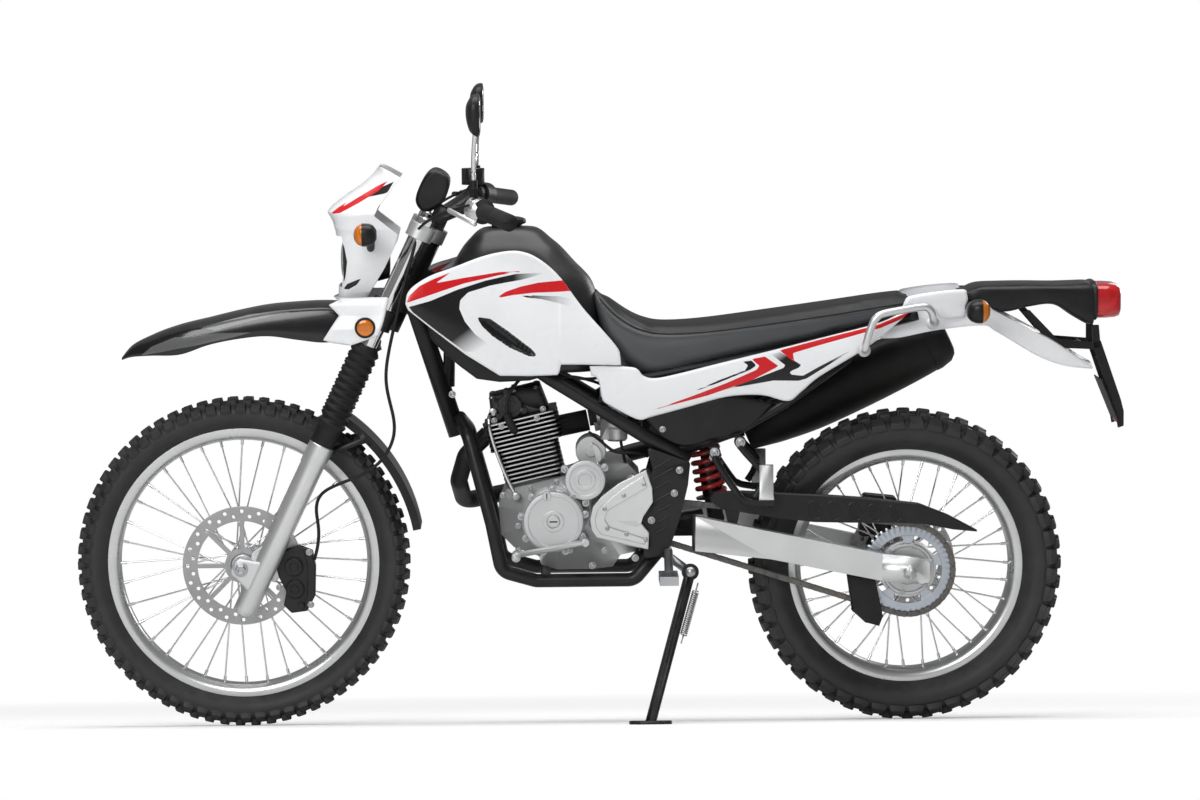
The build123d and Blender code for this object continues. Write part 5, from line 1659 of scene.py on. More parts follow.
def makeInstruments():
    outline = evenLine(smoothLine(np.array(instrument["outline"], float), 96, closed=True), 60)
    housing = repeated(slabShape(outline, -instrument["half"], instrument["half"]), [(0, 0, 0)], sideAxes)
    stand("instrument-housing", housing, "instruments", "blackPanel", sharp=40, bevel=7)
    first, second = np.array([-250.5, 1128.0]), np.array([-262.5, 1086.0])
    middle, along = (first + second) / 2, (first - second) / np.linalg.norm(first - second)
    axes = np.array([[0, 1, 0], [along[0], 0, along[1]], [along[1], 0, -along[0]]])
    screen = [(-42, -15), (42, -15), (42, 15), (-42, 15)]
    frameRing = [(-47, -20), (47, -20), (47, 20), (-47, 20)]
    place = [(middle[0] + 4.0, 0, middle[1])]
    stand(
        "instrument-frame", repeated(slabShape(frameRing, -3, 0), place, axes), "instruments", "glossBlack",
        bevel=1.2
    )
    stand(
        "instrument-screen", repeated(slabShape(screen, -1, 0.6), place, axes), "instruments", "screenGrey",
        bevel=0.5
    )


makeInstruments()

# ---- mirrors: a shell that bulges forwards and a flat glass that faces the rider
mirror = {
    "levels": [
        (1226, 3, 20), (1231, 8, 38), (1240, 13, 50), (1262, 17, 59), (1285, 17, 61), (1300, 12, 54),
        (1307, 7, 40), (1309, 2, 22)
    ],
    "x": -186, "across": 313, "glassHalf": 54, "glassRise": 34, "glassLevel": 1268, "power": 3.2,
}


def makeMirrors():
    for side, label in sides:
        table = smoothLine(np.array(mirror["levels"], float), 34)
        level, deep, half = table.T
        centre = placesOf(mirror["x"] - 0.35 * deep, side * mirror["across"], level)
        shell = loftedBody(centre, placesOf(deep, 0, 0), placesOf(0, half, 0), 48, 2.8)
        # the rear half is cut flat where the glass sits
        points = shell[0].copy()
        points[:, 0] = np.minimum(points[:, 0], mirror["x"] + 4)
        stand("mirror-shell-" + label, (points, *shell[1:]), "mirrors", "blackPanel", sharp=42)
        turn = np.linspace(0, 2 * pi, 64, endpoint=False)
        across, above = squaredCircle(turn, 2 / mirror["power"])
        outline = np.column_stack(
            [mirror["glassHalf"] * across, mirror["glassLevel"] + mirror["glassRise"] * above]
        )
        axes = np.array([[0, 1, 0], [0, 0, 1], [1, 0, 0]], float)
        stand(
            "mirror-glass-" + label,
            repeated(slabShape(outline, 0, 1.6), [(mirror["x"] + 3.4, side * mirror["across"], 0)], axes),
            "mirrors", "mirrorGlass", "chrome_steel"
        )
        stem = smoothLine(
            [
                (-196, side * 272, 1104), (-196, side * 274, 1150), (-195, side * 283, 1190),
                (-192, side * 300, 1226), (-190, side * 304, 1240)
            ],
            40
        )
        stand("mirror-stem-" + label, tubeAlong(stem, 4.8, 16), "mirrors", "chrome", "chrome_steel", sharp=0)
        nut = rodsBetween([(-196, side * 272, 1104)], [(-196, side * 272, 1122)], 9.5, 6)
        boot = rodsBetween([(-196, side * 272, 1120)], [(-196, side * 272.6, 1138)], 7.5, 20)
        stand("mirror-nut-" + label, joined(nut, boot), "mirrors", "blackPanel")


makeMirrors()

# ---- turn signals: a rounded housing and a lens, each a row of rings along x
signals = {
    "front": {"lens": (-438, -420), "house": (-421, -392), "centre": (192, 1026), "half": (31, 23),
        "node": "front_signals", "faces": -1,
        "stem": [(-408, 90, 990), (-406, 130, 1004), (-404, 166, 1018)], "stemRadius": 8.0},
    "rear": {"lens": (820, 838), "house": (791, 821), "centre": (170, 859), "half": (31, 24),
        "node": "rear_lamps", "faces": 1,
        "stem": [(806, 62, 862), (804, 100, 860), (805, 145, 859)], "stemRadius": 8.5},
}


def ringsAlongX(stations, side, centre, half, columns=48, power=3.0):
    # stations of (x, share of the full size)
    x, share = np.array(stations, float).T
    rings = placesOf(
        x, side * centre[0], centre[1]
    ), placesOf(0, half[0] * share, 0), placesOf(0, 0, half[1] * share)
    return loftedBody(*rings, columns, power)


def makeSignals():
    for label, given in signals.items():
        start, end = given["lens"]
        front, back = given["house"]
        swell = np.sin(np.linspace(0.12, pi / 2, 9))
        for side, tip in sides:
            if given["faces"] < 0:
                lens = [
                    (start + (end - start) * (1 - cos(part)), share * 0.97)
                    for part, share in zip(np.linspace(0.12, pi / 2, 9), swell)
                ]
                house = [
                    (front, 1.0), (front + 8, 1.0), (front + 15, 0.96), (front + 22, 0.82), (back - 3, 0.6),
                    (back, 0.4)
                ]
            else:
                lens = [
                    (end - (end - start) * (1 - cos(part)), share * 0.97)
                    for part, share in zip(np.linspace(0.12, pi / 2, 9), swell)
                ][::-1]
                house = [
                    (front, 0.4), (front + 3, 0.6), (front + 8, 0.82), (back - 14, 0.96), (back - 7, 1.0),
                    (back, 1.0)
                ]
            for part, stations, finish, slot, sharp in (
                ("lens", lens, "amberLens", "amber_lens", 55), (
                    "house", house, "blackPanel", "black_plastic", 50
                )
            ):
                rings = ringsAlongX(stations, side, given["centre"], given["half"])
                stand("signal-%s-%s-%s" % (part, label, tip), rings, given["node"], finish, slot, sharp=sharp)
    for label, given in signals.items():
        for side, tip in sides:
            line = smoothLine([(x, side * y, z) for x, y, z in given["stem"]], 16)
            stem = tubeAlong(line, given["stemRadius"], 18)
            stand(
                "signal-stem-%s-%s" % (label, tip), stem, given["node"], "rubber", "black_plastic", sharp=50
            )


makeSignals()
print("front made")

# ---- fenders
fender = {
    # along the high fender: x, ridge height, edge height, half width
    "node": "front_fender", "finish": "paintedFender",
    "stations": [
        (-923, 765, 764, 6), (-900, 786, 772, 26), (-860, 802, 776, 44), (-800, 822, 779, 58),
        (-740, 836, 799, 65), (-680, 850, 811, 69), (-620, 861, 816, 71), (-560, 866, 808, 71),
        (-510, 868, 802, 70), (-470, 866, 806, 68), (-430, 860, 818, 64), (-400, 852, 824, 56)
    ],
    "crown": 12, "thick": 3.0, "columns": 41, "count": 110,
    # two grey fields: a grey patch at the lower front, and a painted highlight along the ridge line
    "greyPatchAndHighlight": [
        [(-881, 773), (-858, 792), (-812, 811), (-719, 820), (-640, 822), (-763, 796)],
        [(-760, 830), (-656, 858), (-560, 864), (-640, 848), (-725, 826)]
    ],
}


def fenderSection(table, columns, crown):
    # over the top the section is a shallow crown to the ridge, then a side wall that falls to the edge
    x, ridge, edge, half = (table[:, column][:, None] for column in range(4))
    share = np.linspace(-1, 1, columns)[None]
    reach = np.abs(share)
    top = reach < 0.66
    part = np.clip(reach / 0.66, 0, 1)
    fall = np.clip((reach - 0.66) / 0.34, 0, 1)
    y = np.sign(share) * half * np.where(top, 0.9 * part, 0.9 + 0.1 * np.sin(fall * pi / 2))
    z = np.where(
        top, ridge + crown * (1 - part**2) * np.minimum(1, half / 50), ridge + (edge - ridge) * fall**1.25
    )
    return np.stack([np.broadcast_to(x, y.shape), y, z], -1)


rearFender = {
    "node": "rear_fender", "finish": "whitePanel",
    "stations": [
        (596, 842, 800, 64), (660, 852, 800, 68), (740, 862, 815, 70), (832, 864, 824, 70),
        (860, 850, 812, 70), (900, 829, 788, 70), (940, 807, 764, 69), (975, 789, 748, 68),
        (1010, 766, 738, 66), (1040, 746, 734, 63), (1060, 735, 732, 60)
    ],
    "crown": 6, "thick": 3.0, "columns": 37, "count": 90,
}


def makeFender(name, given):
    table = smoothLine(np.array(given["stations"], float), given["count"])
    outer = fenderSection(table, given["columns"], given["crown"])
    inner = outer - [0, 0, given["thick"]]
    inner[..., 1] *= 1 - given["thick"] / np.maximum(table[:, 3][:, None], 8)
    places = np.concatenate([outer.reshape(-1, 3), inner.reshape(-1, 3)])[:, [0, 2]]
    # the grey field holds a painted highlight along the ridge as well as the grey patch at the lower front
    fields = {"greyPatchAndHighlight": (nearestField(places, given["greyPatchAndHighlight"]), 0.85)} if "greyPatchAndHighlight" in given else None
    node = given["node"]
    sheetPiece(name, outer, inner, bodyOf[node], given["finish"], slotOf[node], node, fields=fields, sharp=50)


makeFender("front-fender", fender)
makeFender("rear-fender", rearFender)

tail = {
    # x, top, foot, half width
    "stations": [
        (792, 888, 884, 58), (806, 893, 866, 66), (831, 902, 862, 71), (880, 904, 846, 72),
        (930, 904, 856, 72), (980, 903, 860, 71), (1020, 904, 836, 70), (1050, 905, 819, 68),
        (1062, 903, 819, 66)
    ],
    "lamp": [(1062, 0.9), (1066, 1.0), (1090, 1.0), (1108, 0.96), (1116, 0.88), (1119.5, 0.7)],
}


def makeTail():
    table = smoothLine(np.array(tail["stations"], float), 50)
    x, top, low, half = table.T
    shape = loftedBody(
        placesOf(x, 0, (top + low) / 2), placesOf(0, half, 0), placesOf(0, 0, (top - low) / 2), 64, 4.6
    )
    stand("tail-unit", shape, "rear_lamps", "blackPanel", "black_plastic", sharp=40)
    stand(
        "tail-lamp", ringsAlongX(tail["lamp"], 1, (0, 866.5), (60, 36), 64, 4.2), "rear_lamps", "redLens",
        "red_lens", sharp=50
    )
    stand(
        "tail-lamp-rim",
        ringsAlongX([(1056, 1.0), (1064, 1.06), (1068, 1.06), (1070, 1.0)], 1, (0, 866.5), (62, 38), 64, 4.4),
        "rear_lamps", "blackPanel", "black_plastic", sharp=40
    )


makeTail()


dress("fork_mudguard", "blackPanel")
print("fenders made")

# ---- springs, hose, cables and screws


def coil(start, end, radius, turns, wire, count):
    # a helix round the line from start to end
    start, end = np.asarray(start, float), np.asarray(end, float)
    axes = axesAlong([end - start])[0]
    part = np.linspace(0, 1, count)
    angle = part * turns * 2 * pi
    path = start + (end - start) * part[:, None] + radius * (
        np.cos(angle)[:, None] * axes[0] + np.sin(angle)[:, None] * axes[1]
    )
    return tubeAlong(path, wire, 8)


standPivot = np.array([233, -132, 330.0])


def makeStandSpring():
    # the coil lies beside the leg, a third of the way down it
    leg = (upright(footPlace()) - standPivot)
    leg /= np.linalg.norm(leg)
    beside = np.cross(leg, np.array([0, 1.0, 0]))
    beside /= np.linalg.norm(beside)
    start, end = standPivot + leg * 18 + beside * 21, standPivot + leg * 150 + beside * 19
    wire = coil(start + (end - start) * 0.14, end - (end - start) * 0.14, 6.4, 22, 1.35, 420)
    hooks = [
        tubeAlong([start, start + (end - start) * 0.15], 1.5, 8),
        tubeAlong([end - (end - start) * 0.15, end], 1.5, 8)
    ]
    build("stand-spring", joined(wire, *hooks), "side_stand", "zinc", "bright_steel", sharp=0)


def footPlace():
    # the stand's lowest point
    mesh = frame["nodes"]["side_stand"].data
    points = np.empty(len(mesh.vertices) * 3, np.float32)
    mesh.vertices.foreach_get("co", points)
    points = points.reshape(-1, 3)
    return points[points[:, 2] < points[:, 2].min() + 0.01].mean(0)


makeStandSpring()

shock = {"base": (292, 0, 420), "along": (-40, 0, 250), "coils": 7.5, "radius": 27.5, "wire": 5.6}


def makeShock():
    # the body, its two seats and the coil round it
    base, along = np.array(shock["base"], float), np.array(shock["along"], float)
    along /= np.linalg.norm(along)
    axes = axesAlong([along])[0]
    body = [
        (8, 14), (10, 17), (44, 17), (46, 33), (50, 34), (51, 20), (52, 19), (120, 19), (122, 11), (190, 11),
        (191, 33), (196, 34), (198, 22), (206, 20), (238, 18), (240, 12)
    ]
    stand("shock-body", repeated(turnedShape(body, 48), [base], axes), "rear_shock", "framePaint", sharp=40)
    stand(
        "shock-spring",
        coil(base + along * 54, base + along * 188, shock["radius"], shock["coils"], shock["wire"], 260),
        "rear_shock", "redSpring", sharp=0
    )
    eye = repeated(
        turnedShape([(-16, 15), (-14, 17), (14, 17), (16, 15)], 36), [base + along * 4, base + along * 244],
        sideAxes
    )
    stand("shock-eyes", eye, "rear_shock", "framePaint", sharp=40)


makeShock()


def nurbsTube(name, path, radius, body, finish, slot):
    # a hose's line is one smooth curve through its control points
    curve = bpy.data.curves.new(name, "CURVE")
    curve.dimensions = "3D"
    spline = curve.splines.new("NURBS")
    spline.points.add(len(path) - 1)
    points = parked(path)
    spline.points.foreach_set("co", np.column_stack([points, np.ones(len(points))]).ravel())
    spline.use_endpoint_u = True
    spline.order_u = 4
    spline.resolution_u = 10
    curve.bevel_depth = radius / 1000
    curve.bevel_resolution = 4
    curve.use_fill_caps = True
    holder = bpy.data.objects.new(name + "-line", curve)
    scene.collection.objects.link(holder)
    mesh = bpy.data.meshes.new_from_object(holder.evaluated_get(bpy.context.evaluated_depsgraph_get()))
    bpy.data.objects.remove(holder)
    mesh.name = name
    piece = shown(name, mesh, body, made[finish], slot, sharp=0)
    squared(piece)
    for polygon in mesh.polygons:
        polygon.use_smooth = True
    return piece


hoses = {
    "brake-hose": {
        "radius": 3.4,
        "path": [
            (-300, -100, 1060), (-330, -122, 960), (-372, -128, 800), (-385, -122, 720), (-362, -118, 650),
            (-364, -116, 600), (-400, -114, 545), (-470, -112, 518), (-520, -106, 498), (-530, -98, 455),
            (-516, -90, 405), (-532, -80, 356)
        ]
    },
    "clutch-cable": {
        "radius": 2.8,
        "path": [
            (-206, -300, 1090), (-250, -240, 1076), (-300, -150, 1050), (-330, -70, 1010), (-330, -40, 960)
        ]
    },
    "throttle-cable": {
        "radius": 2.8,
        "path": [(-206, 300, 1090), (-250, 240, 1078), (-300, 150, 1052), (-330, 60, 1014), (-330, 30, 960)]
    },
}
for name, given in hoses.items():
    nurbsTube(name, given["path"], given["radius"], "steering", "rubber", "rubber_black")

# screws: (x, z, distance out) on the left, and on the right where the same part is there
screws = {
    "frame": {
        "places": [
            (-247, 690, 60), (-145, 483, 75), (-115, 372, 75), (61, 370, 90), (35, 339, 90), (122, 357, 112),
            (213, 537, 119), (202, 490, 119), (155, 435, 119), (337, 583, 112), (281, 562, 112)
        ],
        "radius": 5.0, "finish": "zinc"
    },
    "panel": {"places": [(179, 621, 119)], "radius": 4.4, "finish": "zinc"},
}
rearOnly = [place for place in screws["frame"]["places"] if place[0] > 190]
for name, given in screws.items():
    for side, label in sides:
        places = rearOnly if name == "frame" and side > 0 else given["places"]
        boltsOnLeft("screws-%s-%s" % (name, label), places, given["radius"], given["finish"], side=side)
cowlScrews = [(-466, 1054, 74), (-380, 987, 96)]
for name, side in (("screws-cowl", -1), ("screws-cowl-right", 1)):
    boltsOnLeft(name, cowlScrews, 3.4, "blackPanel", "steering", "black_plastic", side)


# the chain guard: a plate with five slots, each with a raised rim, and a lip along its top; the slots are not cut
# but are dark insets of painted shade
guard = {
    "upper": [(276, 480), (284, 490), (340, 491), (487, 483), (600, 474), (700, 462), (760, 438), (819, 406)],
    "lower": [
        (276, 472), (296, 456), (400, 437), (487, 426), (560, 424), (659, 423), (712, 420), (770, 408),
        (819, 403)
    ],
    "slots": [
        ((484, 459), (490, 443)), ((525, 458), (530, 441)), ((567, 455), (572, 439)),
        ((608, 452), (613, 437)), ((649, 449), (653, 436))
    ],
    "wide": 10.5, "face": 108, "inner": 92,
}


def stadium(first, second, wide, count=26):
    first, second = np.array(first, float), np.array(second, float)
    ahead = (first - second) / np.linalg.norm(first - second)
    start = atan2(ahead[1], ahead[0])
    bow = np.linspace(-pi / 2, pi / 2, count // 2)
    one = first + wide * np.column_stack([np.cos(start + bow), np.sin(start + bow)])
    two = second + wide * np.column_stack([np.cos(start + pi + bow), np.sin(start + pi + bow)])
    return np.concatenate([one, two])


def makeGuard():
    # the plate's face, its lip inwards over the chain, and the slots as dark insets of painted shade, not holes,
    # with rims
    count = 90
    top, low = evenLine(guard["upper"], count), evenLine(guard["lower"], count)
    low[:, 0] = top[:, 0]
    low[:, 1] = np.interp(top[:, 0], *np.array(guard["lower"], float).T)
    face, inner = guard["face"], guard["inner"]
    outline = [
        (low, -face + 3), (low, -face), (top + [0, -3], -face), (top, -face + 3), (top, -inner),
        (top + [0, -3], -inner), (top + [0, -3], -face + 3)
    ]
    points = np.stack(
        [np.column_stack([line[:, 0], np.full(count, across), line[:, 1]]) for line, across in outline]
    )
    ring = np.arange(len(outline)) * count
    shape = points.reshape(-1, 3), gridQuads(
        len(outline), count, True, False
    ), ring[None], (ring + count - 1)[None, ::-1]
    tab = sidePlate([(300, 474), (340, 468), (330, 422), (312, 422)], 0, 5, 100)
    stand("chain-guard", joined(shape, tab), "chain_guard", "blackPanel")
    rims, slotShades = [], []
    for first, second in guard["slots"]:
        ring = stadium(first, second, guard["wide"])
        path = np.column_stack([ring[:, 0], np.full(len(ring), -face), ring[:, 1]])
        ahead = np.roll(path, -1, 0) - np.roll(path, 1, 0)
        ahead /= np.linalg.norm(ahead, axis=1, keepdims=True)
        outward = np.cross(ahead, np.array([0, -1.0, 0]))
        angle = np.linspace(0, 2 * pi, 8, endpoint=False)[None, :, None]
        rims.append(
            (
                (
                    path[:, None] + 1.3
                    * (np.cos(angle) * outward[:, None] + np.sin(angle) * np.array([0, -1.0, 0]))
                ).reshape(-1, 3),
                gridQuads(len(path), 8, True, True)
            )
        )
        # a thin dark plate on the face stands in for each open slot: painted shade
        slotShades.append(sidePlate(ring, 0, 0.5, face))
    stand("guard-rims", joined(*rims), "chain_guard", "glossBlack", sharp=0)
    stand("guard-slot-shades", joined(*slotShades), "chain_guard", "rubber", sharp=30)


makeGuard()

# the chain's guide under the arm: two cheeks and a foot
guide = [(556, 312), (612, 308), (628, 228), (620, 208), (592, 216), (566, 240)]
cheeks = [repeated(slabShape(guide, low, high), [(0, 0, 0)], sideAxes) for low, high in ((90, 97), (58, 65))]
foot = repeated(
    slabShape([(566, 240), (592, 216), (620, 208), (614, 219), (594, 226), (572, 247)], 58, 97), [(0, 0, 0)],
    sideAxes
)
build("chain-guide", joined(*cheeks, foot), bodyOf["swingarm"], "rubber", "rubber_black", sharp=30, bevel=1.5)

# the muffler: rounded rings along its leaning axis, and an end cap
muffler = {
    "stations": [
        (366, 566, 20, 20), (378, 576, 27, 27), (398, 590, 36, 33), (430, 609, 46, 40), (500, 643, 55, 44),
        (600, 693, 59, 45), (690, 735, 56, 45), (738, 757, 52, 43), (748, 762, 50, 41)
    ],
    "cap": [
        (740, 758, 53, 44), (750, 763, 53, 44), (772, 772, 46, 40), (782, 777, 36, 32), (785, 778, 26, 24),
        (784, 778, 15, 15), (770, 772, 14, 14)
    ],
    "across": 132, "above": (-0.413, 0, 0.911),
}


def mufflerRings(stations):
    # stations of (x, z, half height, half width), square to the axis that leans back
    x, z, tall, wide = np.array(stations, float).T
    above = np.array(muffler["above"])
    return loftedBody(placesOf(x, muffler["across"], z), placesOf(0, wide, 0), tall[:, None] * above, 64, 2.3)


stand(
    "muffler-body", mufflerRings(smoothLine(np.array(muffler["stations"], float), 46)), "muffler",
    "heatBlack", sharp=50
)
stand("muffler-cap", mufflerRings(muffler["cap"]), "muffler", "heatBlack", sharp=38)

# the passenger pegs' brackets: two bent tubes a side and a lug for the hinge
pegTubes = [
    [(284, 572), (290, 550), (331, 488), (344, 477), (360, 472), (397, 467)],
    [(336, 592), (342, 578), (379, 536), (383, 522), (376, 501), (364, 482)],
]


def makePegBrackets():
    for side, label in sides:
        shapes = []
        for path in pegTubes:
            line = np.array([(x, side * (128 + 6 * np.clip((590 - z) / 110, 0, 1)), z) for x, z in path])
            shapes.append(tubeAlong(smoothLine(line, 40), 7.2, 16))
        axes = axesOn[side]
        for x, z in ((284, 574), (336, 594)):
            shapes.append(
                repeated(turnedShape([(-12, 12), (8, 12), (9, 10.5)], 28), [(x, side * 124, z)], axes)
            )
        shapes.append(rodsBetween([(373, side * 136, 472)], [(404, side * 136, 472)], 10.5, 24))
        stand("passenger-bracket-" + label, joined(*shapes), "passenger_peg_brackets", "framePaint", sharp=45)
        boltsOnLeft(
            "passenger-bracket-screws-" + label, [(284, 574, 133), (336, 594, 133)], 6.5, "zinc", side=side
        )


makePegBrackets()

# the plate's holder: two thin arms, a cross plate and a red reflector
holder = {
    "strut": [
        (918, 846), (932, 850), (990, 789), (1060, 783), (1060, 818), (1074, 818), (1078, 772), (1064, 768),
        (984, 772), (976, 778)
    ],
    "arm": [
        (1060, 784), (1078, 786), (1120, 664), (1126, 640), (1126, 610), (1114, 606), (1108, 640), (1066, 764)
    ],
    "half": 46,
}


def makeHolder():
    arms = [
        repeated(slabShape(holder[name], 0, 6), [(0, side * holder["half"] + 3, 0)], sideAxes)
        for side in (-1, 1) for name in ("strut", "arm")
    ]
    ahead = np.array([56, 0, -138.0]) / np.linalg.norm([56, 0, -138.0])
    axes = np.array([[0, -1, 0], -ahead, np.cross([0, -1, 0], -ahead)])
    cross = repeated(
        slabShape([(-58, -22), (58, -22), (58, 70), (-58, 70)], -1.5, 1.5), [(1106, 0, 640)], axes
    )
    bars = rodsBetween([(1040, -46, 778), (1082, -46, 746)], [(1040, 46, 778), (1082, 46, 746)], 4.5, 12)
    stand("plate-holder", joined(*arms, cross, bars), "plate_bracket", "blackPanel", bevel=1)
    lens = repeated(
        slabShape([(-24, -17), (24, -17), (24, 17), (-24, 17)], 0, 5), [(1118, 0, 632)],
        np.array([[0, -1, 0], [0, 0, 1], [-1, 0, 0]]) * [1, 1, -1]
    )
    stand("plate-reflector", lens, "plate_bracket", "redLens", bevel=1.2)


makeHolder()

# the fork: legs and tubes turned round the fork's own slanting axis, with a lug that holds the axle
fork = {"half": 95, "tube": 18.5, "foot": -85, "legTop": 300, "top": 806}
forkUp = np.array([sin(radians(machine["forkRake"])), 0, cos(radians(machine["forkRake"]))])
forkBack = np.array([forkUp[2], 0, -forkUp[0]])


def forkPlace(back, along, across):
    return np.array(machine["frontAxle"], float) + back * forkBack + along * forkUp + np.array([0, across, 0])


def makeFork():
    reach = fork["legTop"] - fork["foot"]
    profile = [
        (0, 6), (0, 17), (6, 21), (14, 23.4), (reach - 60, 23.8), (reach - 40, 24.2), (reach - 32, 26.2),
        (reach - 2, 26.2), (reach, 24.5), (reach, 19)
    ]
    axes = axesAlong([forkUp])[0]
    outline = [
        (-19, -10), (-12, -19), (0, -22), (20, -30), (50, -44), (50, 38), (20, 27), (0, 22), (-12, 19),
        (-19, 10)
    ]
    lugAxes = np.array([forkBack, forkUp, [0, -1, 0]])
    axleX, _, axleZ = machine["frontAxle"]
    lead = machine["axleLead"]
    for side, label in sides:
        half = side * fork["half"]
        leg = repeated(turnedShape(profile, 64), [forkPlace(lead, fork["foot"], half)], axes)
        lug = repeated(slabShape(outline, -20, 20), [forkPlace(0, 0, half)], lugAxes)
        stand("fork-leg-" + label, leg, "fork_lower_legs", "satinAlloy", sharp=40)
        stand("fork-lug-" + label, lug, "fork_lower_legs", "satinAlloy", sharp=30, bevel=4)
        tube = rodsBetween(
            forkPlace(lead, fork["legTop"] - 4, half), forkPlace(lead, fork["top"], half), fork["tube"], 64
        )
        cap = rodsBetween(
            forkPlace(lead, fork["top"] - 1, half), forkPlace(lead, fork["top"] + 2, half), 13, 6
        )
        stand("fork-tube-" + label, joined(tube, cap), "fork_tubes", "chrome", sharp=40)
        nut = joined(
            turnedShape([(0, 15), (2, 15), (2.4, 14)], 36),
            turnedShape([(2, 11), (9, 11), (10, 9.6), (10, 6), (6, 5.6)], 6)
        )
        build(
            "front-axle-nut-" + label, repeated(nut, [(axleX, side * 115, axleZ)], axesOn[side]), "steering",
            "zinc", "bright_steel"
        )
        spacer = rodsBetween((axleX, side * 58, axleZ), (axleX, side * 76, axleZ), 14, 32)
        build("front-axle-spacer-" + label, spacer, "steering", "zinc", "bright_steel")


makeFork()

# the grab bars: one bent tube a side with a pad at each foot
def makeGrabBars():
    path = [
        (588, 124, 778), (588, 136, 782), (592, 141, 800), (603, 142, 832), (610, 142.5, 844),
        (624, 142.5, 853), (660, 142, 860), (700, 141, 866), (714, 140, 865), (723, 137, 856),
        (727, 130, 842), (728, 116, 832)
    ]
    for side, label in sides:
        line = smoothLine([(x, side * y, z) for x, y, z in path], 90)
        pads = rodsBetween(
            [(588, side * 118, 777), (728, side * 108, 830)],
            [(588, side * 125, 778), (728, side * 117, 832)], 13, 28
        )
        stand(
            "grab-bar-" + label, joined(tubeAlong(line, 7.8, 20), pads), "grab_bars", "satinAlloy", sharp=45
        )


makeGrabBars()

# front calliper: a cast bridge over the disc, two piston housings, a bracket to the leg and pins
def makeCalliper():
    body = [
        (-600, 372), (-566, 384), (-536, 372), (-530, 340), (-532, 280), (-548, 250), (-580, 246),
        (-596, 262), (-590, 290), (-604, 318), (-612, 346)
    ]
    shapes = [sidePlate(body[::-1], 48, 56), sidePlate(body[::-1], 64, 82)]
    bridge = [
        (-556, 380), (-536, 370), (-530, 340), (-532, 280), (-546, 254), (-556, 258), (-548, 284),
        (-546, 338), (-552, 366)
    ]
    shapes.append(sidePlate(bridge[::-1], 46, 84))
    stand("front-calliper", joined(*shapes), "front_brake_caliper", "framePaint", sharp=30, bevel=2.2)
    caps = [(-4, 19), (5, 19), (7, 17), (7, 9), (5.2, 8), (5.2, 0.4)]
    housings = repeated(turnedShape(caps, 40), [(-574, -82, 342), (-572, -82, 296)], sideAxes)
    pins = rodsBetween([(-596, -90, 372), (-560, -90, 262)], [(-596, -46, 372), (-560, -46, 262)], 6, 16)
    stand("calliper-pistons", joined(housings, pins), "front_brake_caliper", "blackPanel")
    boltsOnLeft(
        "calliper-bolts", [(-610, 352, 84), (-604, 300, 84), (-542, 372, 86), (-540, 264, 86)], 4.6, "zinc",
        "steering"
    )
    lug = [(-660, 372), (-640, 384), (-604, 366), (-596, 330), (-612, 308), (-634, 316), (-668, 330)]
    stand(
        "calliper-bracket", sidePlate(lug[::-1], 66, 76), "front_brake_caliper", "satinAlloy", sharp=30,
        bevel=2
    )


makeCalliper()

